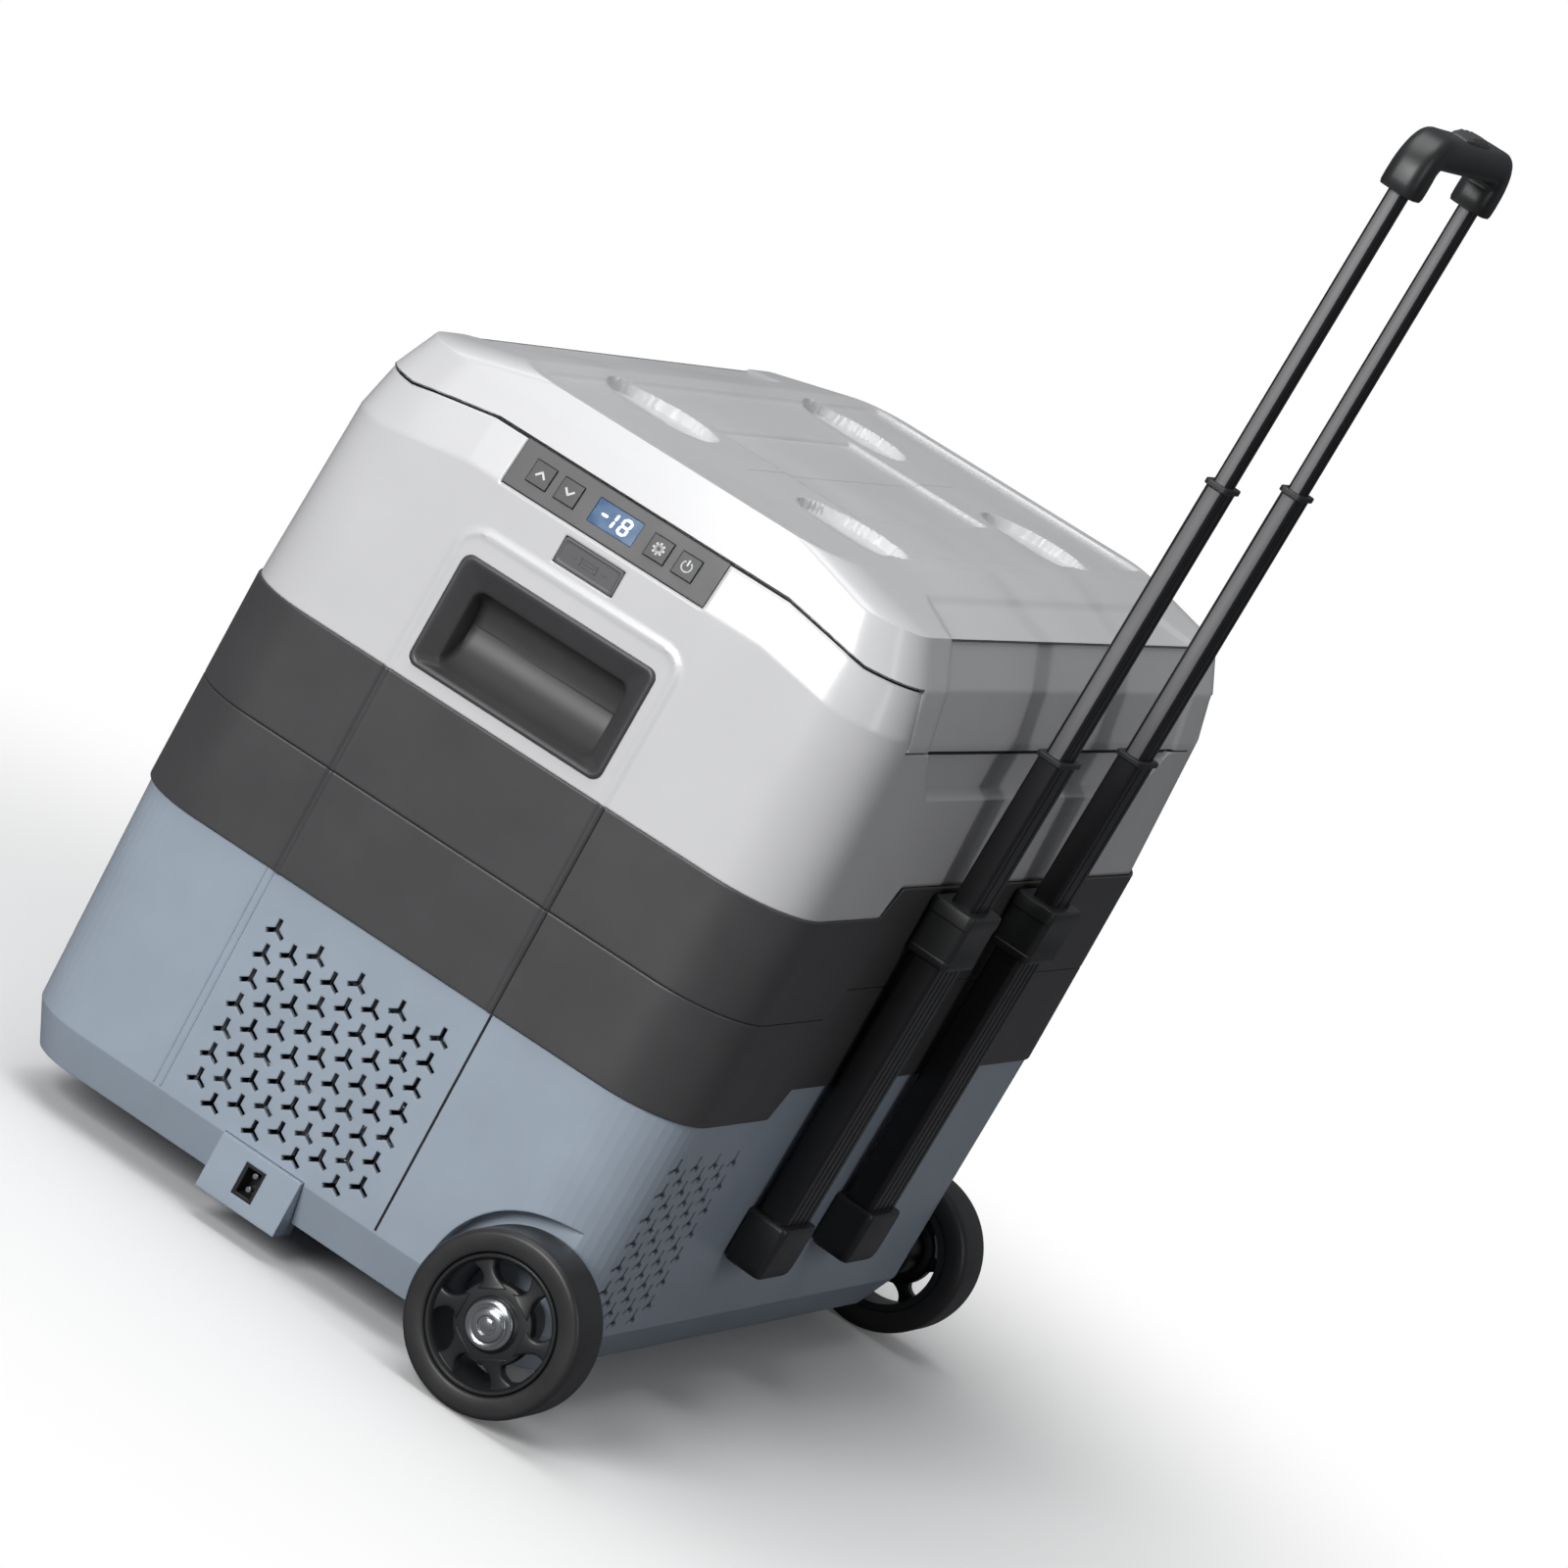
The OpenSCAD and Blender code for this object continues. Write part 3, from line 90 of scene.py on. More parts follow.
def centre_x():
    """The cabinet's middle in the row frame, in millimetres, read from the upper band."""
    low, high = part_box("upper_band")
    return (low.x + high.x) / 2 / MM


# ---------------------------------------------------------------- settings


class CoolerShell(bpy.types.PropertyGroup):
    """Colours and relief of the cabinet."""

    pearl: StringProperty(name="Shell colour", description="Lid and upper housing", default="#d2d2d3")
    band: StringProperty(name="Band colour", description="The two stacking bands", default="#454546")
    base: StringProperty(name="Base colour", description="Lower housing", default="#a2aebb")
    strip_rise: FloatProperty(name="Strip relief", description="Rise of the front's middle strip",
                              default=0.0009, min=0.0, max=0.002, subtype="DISTANCE", unit="LENGTH")


class CoolerLid(bpy.types.PropertyGroup):
    """Relief of the lid's top."""

    cup_depth: FloatProperty(name="Cup depth", description="Depth of the four round recesses",
                             default=0.0078, min=0.002, max=0.009, subtype="DISTANCE", unit="LENGTH")
    cup_radius: FloatProperty(name="Cup radius", description="Radius of the four round recesses",
                              default=0.033, min=0.028, max=0.036, subtype="DISTANCE", unit="LENGTH")
    tray_depth: FloatProperty(name="Tray depth", description="Depth of the tray inside the rim",
                              default=0.002, min=0.0005, max=0.003, subtype="DISTANCE", unit="LENGTH")


class CoolerRunning(bpy.types.PropertyGroup):
    """Wheels and trolley."""

    rubber: StringProperty(name="Tyre colour", description="Tyres and feet", default="#2c2c2d")
    tube: StringProperty(name="Tube colour", description="Anodised trolley tubes", default="#2e2e30")
    spokes: IntProperty(name="Spokes", description="Spokes of each wheel", default=6, min=4, max=8)


class CoolerStage(bpy.types.PropertyGroup):
    """Floor, lights and camera."""

    key: FloatProperty(name="Key light", description="Power of the large softbox, in watts",
                       default=92.0, min=1.0, max=400.0)
    floor: FloatVectorProperty(name="Floor colour", description="Pale studio floor", subtype="COLOR",
                               default=(0.90, 0.90, 0.90), min=0.0, max=1.0)
    roll: FloatProperty(name="Camera roll", description="The photographed cooler leans back on its wheels",
                        default=math.radians(29.1), subtype="ANGLE", unit="ROTATION")


# ---------------------------------------------------------------- materials


def linear(code):
    """Linear RGBA of an sRGB hex colour."""
    rgb = [int(code.lstrip("#")[i:i + 2], 16) / 255 for i in (0, 2, 4)]
    return tuple(c / 12.92 if c <= 0.04045 else ((c + 0.055) / 1.055) ** 2.4 for c in rgb) + (1.0,)


def add_node(tree, kind, links=(), **values):
    """Adds a shader node, sets its sockets and properties by name, and links (output, socket) pairs."""
    node = tree.nodes.new(kind)
    for key, value in values.items():
        socket = node.inputs.get(key.replace("_", " "))
        if socket is not None:
            socket.default_value = value
        else:
            setattr(node, key, value)
    for source, name in links:
        tree.links.new(source, node.inputs[name])
    return node


MADE = {}


def material(name, colour, roughness, metallic=0.0, grain_mm=0.8, grain=0.08, mottle=0.03, mottle_mm=40.0,
             wear=0.04, edge_mm=0.7, coat=0.0, stretch=(1, 1, 1)):
    """A moulded, painted or metal surface: mottled colour, uneven roughness, fine relief and soft edges.

    colour is an sRGB code, grain_mm the size of the surface's texture, mottle_mm that of the colour's
    slow drift, wear how much the roughness wanders, edge_mm the radius that edges are rounded to.
    """
    if name in MADE:
        return MADE[name]
    mat = bpy.data.materials.new(name)
    mat.use_nodes = True
    tree = mat.node_tree
    tree.nodes.clear()
    place = add_node(tree, "ShaderNodeTexCoord").outputs["Object"]
    grainy = add_node(tree, "ShaderNodeMapping", [(place, "Vector")], Scale=stretch).outputs[0]
    slow = add_node(tree, "ShaderNodeTexNoise", [(place, "Vector")], Scale=1000 / mottle_mm,
                    Detail=3.0, Roughness=0.55).outputs["Fac"]
    fine = add_node(tree, "ShaderNodeTexNoise", [(grainy, "Vector")], Scale=1000 / grain_mm,
                    Detail=2.0, Roughness=0.6).outputs["Fac"]
    base = linear(colour)
    dark = tuple(c * (1 - 2.2 * mottle) for c in base[:3]) + (1.0,)
    light = tuple(min(c * (1 + 1.2 * mottle), 1.0) for c in base[:3]) + (1.0,)
    ramp = add_node(tree, "ShaderNodeValToRGB", [(slow, "Fac")])
    ramp.color_ramp.elements[0].position, ramp.color_ramp.elements[0].color = 0.3, dark
    ramp.color_ramp.elements[1].position, ramp.color_ramp.elements[1].color = 0.7, light
    rough = add_node(tree, "ShaderNodeMapRange", [(slow, "Value")], **{
        "From_Min": 0.3, "From_Max": 0.7, "To_Min": max(roughness - wear, 0.02), "To_Max": roughness + wear})
    soft = add_node(tree, "ShaderNodeBevel", Radius=edge_mm * MM, samples=4)
    relief = add_node(tree, "ShaderNodeBump", [(fine, "Height"), (soft.outputs[0], "Normal")],
                      Strength=grain, Distance=grain_mm * 0.25 * MM)
    shader = add_node(tree, "ShaderNodeBsdfPrincipled", [
        (ramp.outputs["Color"], "Base Color"), (rough.outputs[0], "Roughness"), (relief.outputs[0], "Normal")],
        Metallic=metallic, Coat_Weight=coat, Coat_Roughness=0.12)
    out = add_node(tree, "ShaderNodeOutputMaterial", [(shader.outputs[0], "Surface")])
    out.target = "ALL"
    MADE[name] = mat
    return mat


def lit(mat, colour, strength):
    """Makes a finish glow in an sRGB colour."""
    shader = mat.node_tree.nodes["Principled BSDF"]
    shader.inputs["Emission Color"].default_value = linear(colour)
    shader.inputs["Emission Strength"].default_value = strength


def make_materials():
    """Every finish of the object, named for its real material and process."""
    shell, running = bpy.context.scene.cooler_shell, bpy.context.scene.cooler_running
    # Injection moulded ABS, pearl lacquer: soft gloss with a faint orange peel
    material("abs_pearl_lacquer", shell.pearl, 0.33, grain_mm=2.6, grain=0.035, mottle=0.012, coat=0.25,
             mottle_mm=90, edge_mm=1.1)
    # Moulded PP with an eroded mould texture: satin, catches a broad highlight at the corners
    material("pp_dark_spark_texture", shell.band, 0.42, grain_mm=0.9, grain=0.10, mottle=0.03, edge_mm=0.9)
    # Moulded ABS in pale blue grey, half gloss
    material("abs_blue_grey", shell.base, 0.36, grain_mm=2.2, grain=0.04, mottle=0.02, coat=0.15, edge_mm=1.4)
    # Glass filled nylon trim, matt
    material("nylon_dark_trim", "#434344", 0.40, grain_mm=0.7, grain=0.10, mottle=0.04, edge_mm=0.8)
    # Black ABS for buttons, grips and caps
    material("abs_black_fine", "#242526", 0.38, grain_mm=0.7, grain=0.10, mottle=0.05, edge_mm=0.7)
    # Food-safe liner, thermoformed polystyrene
    material("hips_liner_white", "#dfe2e3", 0.30, grain_mm=3.5, grain=0.03, mottle=0.012, edge_mm=2.0)
    # Injected polyurethane foam: open, pitted and yellowish
    material("pu_foam", "#d8c98f", 0.9, grain_mm=1.6, grain=0.7, mottle=0.10, mottle_mm=14)
    # Cold rolled steel, zinc plated
    material("steel_zinc_plated", "#b4b7ba", 0.32, 1.0, grain_mm=1.2, grain=0.12, mottle=0.06, mottle_mm=9,
             wear=0.1)
    # Rolled aluminium sheet with a fine grain along it
    material("aluminium_rolled", "#c9ccce", 0.34, 1.0, grain_mm=0.5, grain=0.2, stretch=(1, 1, 0.06), wear=0.08)
    # Drawn copper tube, dulled
    material("copper_drawn", "#b9714b", 0.36, 1.0, grain_mm=1.0, grain=0.15, mottle=0.12, mottle_mm=12)
    # Sprayed black paint over a steel can
    material("paint_black_sprayed", "#141517", 0.28, grain_mm=1.8, grain=0.12, coat=0.3, edge_mm=1.5)
    # Vulcanised rubber: matt, faintly bloomed
    material("rubber_black", running.rubber, 0.62, grain_mm=0.9, grain=0.22, mottle=0.10, mottle_mm=22,
             wear=0.08)
    # Overmoulded PU tyre, smoother than rubber
    material("pu_tyre", running.rubber, 0.40, grain_mm=1.1, grain=0.10, mottle=0.06, mottle_mm=26, wear=0.06)
    # Extruded aluminium tube, black anodised, drawn along its length
    material("aluminium_black_anodised", running.tube, 0.34, 0.6, grain_mm=0.8, grain=0.012,
             mottle=0.01, stretch=(1, 1, 0.03), wear=0.02, edge_mm=0.5)
    # The inner stages' paler anodising
    material("aluminium_grey_anodised", "#6c6c6d", 0.42, 0.35, grain_mm=0.8, grain=0.012,
             mottle=0.01, stretch=(1, 1, 0.03), wear=0.02, edge_mm=0.15)
    # Moulded thermoplastic elastomer, grey and silky, for the socket's flap
    material("tpe_flap_grey", "#5c5c5e", 0.46, grain_mm=0.7, grain=0.08, mottle=0.04, edge_mm=0.25)
    # Glass-epoxy board under solder resist
    material("pcb_green", "#1c5a35", 0.35, grain_mm=0.6, grain=0.1)
    # Smoked acrylic over a blue lit display
    lit(material("acrylic_blue_display", "#16446a", 0.14, grain_mm=3, grain=0.01, mottle=0.03, mottle_mm=8),
        "#2a6494", 0.28)
    # Lit white segments
    lit(material("led_segment_white", "#f2f7fb", 0.4, grain_mm=0.5, grain=0.02, mottle=0.01), "#e6f3ff", 0.9)
    # Pad printed white ink
    material("ink_white", "#e4e4e4", 0.55, grain_mm=0.3, grain=0.1, mottle=0.05, mottle_mm=3, edge_mm=0.05)
    # Vacuum plated hub cap
    material("plated_silver_plastic", "#a6a8aa", 0.22, 0.9, grain_mm=1.2, grain=0.03, mottle=0.03, edge_mm=0.5)
    # Painted shade: flat black standing in for the shadow along the strip's step and for the shade inside the
    # gap under the lid
    material("gap_black", "#161617", 0.7, grain_mm=0.6, grain=0.1)


FINISH = {node: finish for finish, nodes in {
    "abs_blue_grey": "lower_housing inlet_housing",
    "pp_dark_spark_texture": "lower_band upper_band",
    "abs_pearl_lacquer": "upper_housing lid_shell",
    "hips_liner_white": "inner_tub lid_liner",
    "pu_foam": "insulation lid_foam",
    "aluminium_rolled": "evaporator condenser power_module",
    "steel_zinc_plated": "base_tray base_screws hinge_pins axle usb_socket dc_pins release_rods",
    "rubber_black": "rubber_feet compressor_feet lid_seal usb_cover",
    "paint_black_sprayed": "compressor",
    "copper_drawn": "filter_drier refrigerant_pipes",
    "nylon_dark_trim": "handle_insert_front handle_insert_rear control_panel",
    "acrylic_blue_display": "display_window",
    "pcb_green": "control_board",
    "pu_tyre": "tyre_front tyre_rear",
    "plated_silver_plastic": "hub_caps",
    "aluminium_black_anodised": "outer_tubes first_stage_tubes second_stage_tubes third_stage_tubes",
    "abs_black_fine": "fan_frame fan_rotor button_up button_down button_settings button_power dc_socket "
                      "rim_front rim_rear leg_caps leg_collars trolley_grip release_button",
}.items() for node in nodes.split()}



# ---------------------------------------------------------------- mesh helpers


def smooth_step(edge0, edge1, x):
    """0 below edge0, 1 above edge1, and a smooth cubic between."""
    t = np.clip((np.asarray(x, float) - edge0) / (edge1 - edge0), 0, 1)
    return t * t * (3 - 2 * t)


def mesh_piece(name, points, faces, finish, body, slot=None, sharp=40.0, replaces=()):
    """Makes a mesh from an (n, 3) array in millimetres and lists of corners, welds it and faces it outwards."""
    points = np.array(points, float)
    points[:, 0] += centre_x()
    mesh = bpy.data.meshes.new(name)
    mesh.from_pydata((points * MM).tolist(), [], [tuple(int(i) for i in f) for f in faces])
    work = bmesh.new()
    work.from_mesh(mesh)
    bmesh.ops.remove_doubles(work, verts=work.verts, dist=2e-6)
    bmesh.ops.dissolve_degenerate(work, edges=work.edges, dist=1e-6)
    bmesh.ops.recalc_face_normals(work, faces=work.faces)
    work.to_mesh(mesh)
    work.free()
    mesh.polygons.foreach_set("use_smooth", np.ones(len(mesh.polygons), bool))
    mesh.set_sharp_from_angle(angle=math.radians(sharp))
    mesh.materials.append(MADE[finish])
    obj = bpy.data.objects.new(name, mesh)
    bpy.context.scene.collection.objects.link(obj)
    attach(obj, body)
    if replaces:
        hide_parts(*replaces)
    return obj


def grid_faces(rows, columns, closed=False, offset=0):
    """Quads of a grid of rows by columns of points; closed joins the last column to the first."""
    faces = []
    for i in range(rows - 1):
        for j in range(columns if closed else columns - 1):
            k = (j + 1) % columns
            faces.append((offset + i * columns + j, offset + i * columns + k,
                          offset + (i + 1) * columns + k, offset + (i + 1) * columns + j))
    return faces


def join(parts):
    """One array of points and one list of faces from several (points, faces)."""
    points, faces, base = [], [], 0
    for p, f in parts:
        p = np.asarray(p, float)
        points.append(p)
        faces += [tuple(i + base for i in face) for face in f]
        base += len(p)
    return np.concatenate(points), faces


def rounded_rect(half_w, half_h, radius, steps=6):
    """Corner-rounded rectangle as (n, 2) points, anticlockwise: four quarter circles joined by straights."""
    radius = min(radius, half_w, half_h)
    out = []
    for quarter, (sx, sy) in enumerate([(1, -1), (1, 1), (-1, 1), (-1, -1)]):
        for a in np.linspace(-90 + 90 * quarter, 90 * quarter, steps):
            out.append((sx * (half_w - radius) + radius * math.cos(math.radians(a)),
                        sy * (half_h - radius) + radius * math.sin(math.radians(a))))
    return np.array(out)


def loft(rings, cap_first=True):
    """Skin over closed rings of equally many 3-D points, with flat caps at its ends or only the last."""
    rings = [np.asarray(r, float) for r in rings]
    n = len(rings[0])
    points = np.concatenate(rings)
    faces = grid_faces(len(rings), n, closed=True)
    if cap_first:
        faces.append(tuple(range(n))[::-1])
    faces.append(tuple(range((len(rings) - 1) * n, len(rings) * n)))
    return points, faces


def lathe(profile, steps, place):
    """Turns (radius, height) points round the local Z axis and maps them with place, an array function."""
    profile = np.asarray(profile, float)
    a = np.linspace(0, 2 * math.pi, steps, endpoint=False)
    rings = []
    for r, h in profile:
        rings.append(np.stack([r * np.cos(a), r * np.sin(a), np.full(steps, h)], 1))
    points = np.concatenate(rings)
    return place(points), grid_faces(len(profile), steps, closed=True)


def on_plane(y, z, tilt, points, x=FRONT_X):
    """Local (across, inwards, up) points on a leaning front face, into cabinet axes."""
    p = np.asarray(points, float)
    c, s = math.cos(tilt), math.sin(tilt)
    return np.stack([x + p[:, 0], y + p[:, 1] * c + p[:, 2] * s, z - p[:, 1] * s + p[:, 2] * c], 1)


def on_axle(end):
    """Maps points turned round local Z onto the axle, at the front (-1) or the rear (1) wheel."""
    return lambda p: np.stack([AXLE_X + p[:, 0], end * (WHEEL_Y0 + p[:, 2]), WHEEL_R + p[:, 1]], 1)


def on_leg(points, side=0):
    """Leg axes (out, across, along) into cabinet axes; the trolley leans outwards."""
    p = np.asarray(points, float)
    c, s = math.cos(LEAN), math.sin(LEAN)
    return np.stack([LEG_X + p[:, 0] * c + p[:, 2] * s, side * LEG_HALF + p[:, 1],
                     LEG_Z - p[:, 0] * s + p[:, 2] * c], 1)


def perimeter(xs, ys, steps=12):
    """The cabinet's plan outline, anticlockwise from the front left: straights at xs and ys, quarter
    circles of that many steps between."""
    arc = np.radians(np.linspace(0, 90, steps + 2)[1:-1])
    out = [(x, -HALF_L) for x in xs]
    r = CORNER_R
    out += [(CORE_X + r * math.sin(a), -CORE_Y - r * math.cos(a)) for a in arc]
    out += [(HALF_W, y) for y in ys]
    out += [(CORE_X + r * math.cos(a), CORE_Y + r * math.sin(a)) for a in arc]
    out += [(x, HALF_L) for x in xs[::-1]]
    out += [(-CORE_X - r * math.sin(a), CORE_Y + r * math.cos(a)) for a in arc]
    out += [(-HALF_W, y) for y in ys[::-1]]
    out += [(-CORE_X - r * math.cos(a), -CORE_Y - r * math.sin(a)) for a in arc]
    return np.array(out)


def inset_plan(base, in_x, in_y=None):
    """The perimeter moved in by in_x and in_y (numbers or one per point): corners keep their centres'
    direction, their radius shrinks by in_y, and the straights stretch to meet them."""
    in_y = in_x if in_y is None else in_y
    core = np.array([CORE_X, CORE_Y])
    inner = np.clip(base, -core, core)
    normal = (base - inner) / CORNER_R
    r = np.maximum(CORNER_R - in_y, 0)
    scale = np.stack([(HALF_W - in_x - r) / core[0] + 0 * base[:, 0],
                      (HALF_L - in_y - r) / core[1] + 0 * base[:, 0]], 1)
    return inner * scale + normal * (r + 0 * base[:, 0])[:, None]


def corner_drop(x):
    """0 across the middle of the front and 1 at the corners and sides, where the joint line has dropped."""
    return np.clip((np.abs(x) - 95) / 55, 0, 1)


def jog(y):
    """Rise of the joint lines behind the compressor bay."""
    return JOG_H * np.clip((y - (JOG_Y - JOG_RUN / 2)) / JOG_RUN, 0, 1)


def strip_relief(x, z, top, rise):
    """Height of the middle strip over the front face: a low rounded-top rectangle inside a soft bead."""
    across = np.abs(x - STRIP_X)
    qx, qz = across - (STRIP_HW - STRIP_R), z - (top - STRIP_R)
    corner = np.hypot(np.maximum(qx, 0), np.maximum(qz, 0)) + np.minimum(np.maximum(qx, qz), 0) - STRIP_R
    edge = np.where(qz > 0, corner, across - STRIP_HW)
    return rise * (0.35 * (1 - smooth_step(-1.0, 0.8, edge)) + 1.0 * np.exp(-((edge + 2.0) / 1.35) ** 2))


def shell_piece(name, rows, base, finish, slot, windows=(), replaces=(), thick=WALL):
    """A housing's skin from its rows of points round the perimeter, open in the windows
    (is it at the rear, x0, x1, z0, z1), and solidified inwards."""
    points = np.concatenate(rows)
    faces = []
    for face in grid_faces(len(rows), len(base), closed=True):
        c = points[list(face)].mean(0)
        hidden = any(b == (c[1] > 0) and x0 < c[0] < x1 and z0 < c[2] < z1 and abs(c[1]) > HALF_L - 20
                     for b, x0, x1, z0, z1 in windows)
        if not hidden:
            faces.append(face)
    obj = mesh_piece(name, points, faces, finish, "cabinet", slot, replaces=replaces, sharp=38)
    solid = obj.modifiers.new("wall", "SOLIDIFY")
    solid.thickness, solid.offset = thick * MM, -1.0
    solid.use_rim = True
    return obj


def fine_steps(stops, coarse, windows=()):
    """Sorted samples from first to last stop, coarse apart, finer inside the given (low, high, step)."""
    out = set(np.round(np.arange(stops[0], stops[1] + 0.01, coarse), 3).tolist() + [stops[0], stops[1]])
    for low, high, step in windows:
        out = {v for v in out if not low < v < high}
        out |= set(np.round(np.linspace(low, high, max(int(round((high - low) / step)), 1) + 1), 3).tolist())
    return np.array(sorted(out))


# ---------------------------------------------------------------- builders


def build_bands():
    """Both stacking bands: straight walls with rounded edges, stepped behind the bay, strip on the front."""
    rise = bpy.context.scene.cooler_shell.strip_rise / MM
    xs = fine_steps((-CORE_X, CORE_X), 12, [(-84, -72, 0.8), (58, 70, 0.8)])
    ys = fine_steps((-CORE_Y, CORE_Y), 20, [(-156, -137, 1.0)])
    base = perimeter(xs, ys)
    front = base[:, 1] <= -HALF_L + 1e-6
    edges = [0, 0.25, 0.5, 0.9, 1.4, 2.0]
    height = MID_Z - BAND_Z
    no_end = 2000.0
    for name, z0, node in (("band_lower_skin", BAND_Z, "lower_band"), ("band_upper_skin", MID_Z, "upper_band")):
        rows = []
        for k in edges + [8, 20, 31.25, 42.5, 54.5] + [height - e for e in edges[::-1]]:
            near = min(k, height - k, 1.0)
            plan = inset_plan(base, 1.0 - math.sqrt(1 - (1 - near) ** 2))
            ring = np.column_stack([plan, z0 + k + jog(base[:, 1])])
            ring[front, 1] -= strip_relief(ring[front, 0], ring[front, 2], no_end, rise)
            rows.append(ring)
        shell_piece(name, rows, base, "pp_dark_spark_texture", "band_grey", replaces=(node,))


def upper_inset(z, crease):
    """Inset of the upper housing at a height, in millimetres: a leaning wall, then the steeper brow."""
    wall = UPPER_IN + (np.minimum(z, crease) - UPPER_Z) * math.tan(UPPER_TILT)
    return wall + np.maximum(z - crease, 0) * math.tan(BROW_TILT)


def on_side(base):
    """Which points of the perimeter lie on the long sides."""
    return np.abs(base[:, 1]) < CORE_Y + 0.1


def joint_line(base):
    """Height of the lid's lower edge: level, dropping at the corners, low along the long sides' skirts."""
    return np.where(on_side(base), SKIRT_Z, JOINT_Z - CORNER_FALL * corner_drop(base[:, 0]))


def build_upper_housing():
    """Upper housing: leaning walls, a crease that drops at the corners, raised middle strip, finger recess."""
    rise = bpy.context.scene.cooler_shell.strip_rise / MM
    xs = fine_steps((-CORE_X, CORE_X), 9, [(-84, 70, 1.55), (94, 96, 1), (-96, -94, 1)])
    ys = fine_steps((-CORE_Y, CORE_Y), 14, [(-210, -168, 2.1), (168, 210, 2.1), (-156, -137, 2)])
    def window(rear, x, z, half_w, half_h):
        return (rear, x - half_w, x + half_w, z - half_h, z + half_h)

    windows = [(False, FRONT_X - PANEL_HW, FRONT_X + PANEL_HW, CREASE_Z + 0.2, JOINT_Z - 0.1),
               window(False, FRONT_X, POCKET_Z[-1], POCKET_HW, POCKET_HH),
               window(True, 0, POCKET_Z[1], POCKET_HW, POCKET_HH),
               window(False, FRONT_X, USB_Z, USB_HW, USB_HH)]
    # The windows' edges are lines of the grid, so that they come out straight
    marks = [x for edges in windows for x in edges[1:3]]
    xs = np.array(sorted([v for v in xs if min(abs(v - m) for m in marks) > 0.5] + marks))
    marks_z = [z for edges in windows[1:] for z in edges[3:]] + [CREASE_Z]
    levels = [v for v in fine_steps((UPPER_Z, JOINT_Z), 2.0) if min(abs(v - m) for m in marks_z) > 0.6]
    levels = sorted(levels + marks_z + [UPPER_Z + 0.5])
    base = perimeter(xs, ys)
    front = base[:, 1] <= -HALF_L + 1e-6
    right = on_side(base) & (base[:, 0] > 0)
    crease = CREASE_Z - CORNER_FALL * corner_drop(base[:, 0])
    low = UPPER_Z + jog(base[:, 1])
    high = joint_line(base) - np.where(base[:, 0] < -HALF_W + 1e-6, 4.4, 1.2)
    # Rows are level up to near, and above it they follow the crease
    near, strip_top, recess_half, recess_x = 398.0, 394.5, 205, 171.2
    rows = []
    for level in levels:
        if level <= near:
            z = np.full(len(base), float(level))
        elif level <= CREASE_Z:
            z = near + (level - near) * (crease - near) / (CREASE_Z - near)
        else:
            z = crease + level - CREASE_Z
        z = np.clip(z, low, high)
        ring = np.column_stack([inset_plan(base, upper_inset(z, crease)), z])
        ring[front, 1] -= strip_relief(ring[front, 0], z[front], strip_top, rise)
        # Finger recess under the skirt, narrower towards its foot
        reach = recess_half - (SKIRT_Z - z) * 33 / 28
        depth = smooth_step(0, 2.5, reach - np.abs(ring[:, 1])) * smooth_step(-28.5, -26, z - SKIRT_Z)
        depth = np.where(right, depth, 0.0)
        ring[:, 0] = ring[:, 0] * (1 - depth) + np.minimum(ring[:, 0], recess_x) * depth
        rows.append(ring)
    shell_piece("upper_housing_skin", rows, base, "abs_pearl_lacquer", "shell_pearl", windows,
                replaces=("upper_housing",), thick=2.0)
    # Black sheet behind the gap under the lid: painted shade that makes the gap read dark, so that no light
    # comes through it
    seam = []
    for lift, inward in ((-2.6, 2.6), (1.6, 2.6), (1.6, 3.4), (-2.6, 3.4)):
        z = joint_line(base) + lift
        seam.append(np.column_stack([inset_plan(base, upper_inset(z, crease) + inward), z]))
    mesh_piece("lid_seam", np.concatenate(seam + seam[:1]), grid_faces(5, len(base), closed=True), "gap_black",
               "cabinet", "trim_dark")


def lid_profile(z):
    """Insets (in_x, in_y) of the lid's outside at a height: skirt, wall and shoulder."""
    stops = [(SKIRT_Z, 4.5, 4.5), (CORNER_Z, 11.3, 11.3), (463.0, 23.5, 16.5), (TOP_Z, 76.5, 19.5)]
    for (z0, x0, y0), (z1, x1, y1) in zip(stops, stops[1:]):
        if z <= z1:
            t = (z - z0) / (z1 - z0)
            return x0 + t * (x1 - x0), y0 + t * (y1 - y0)
    return stops[-1][1:]


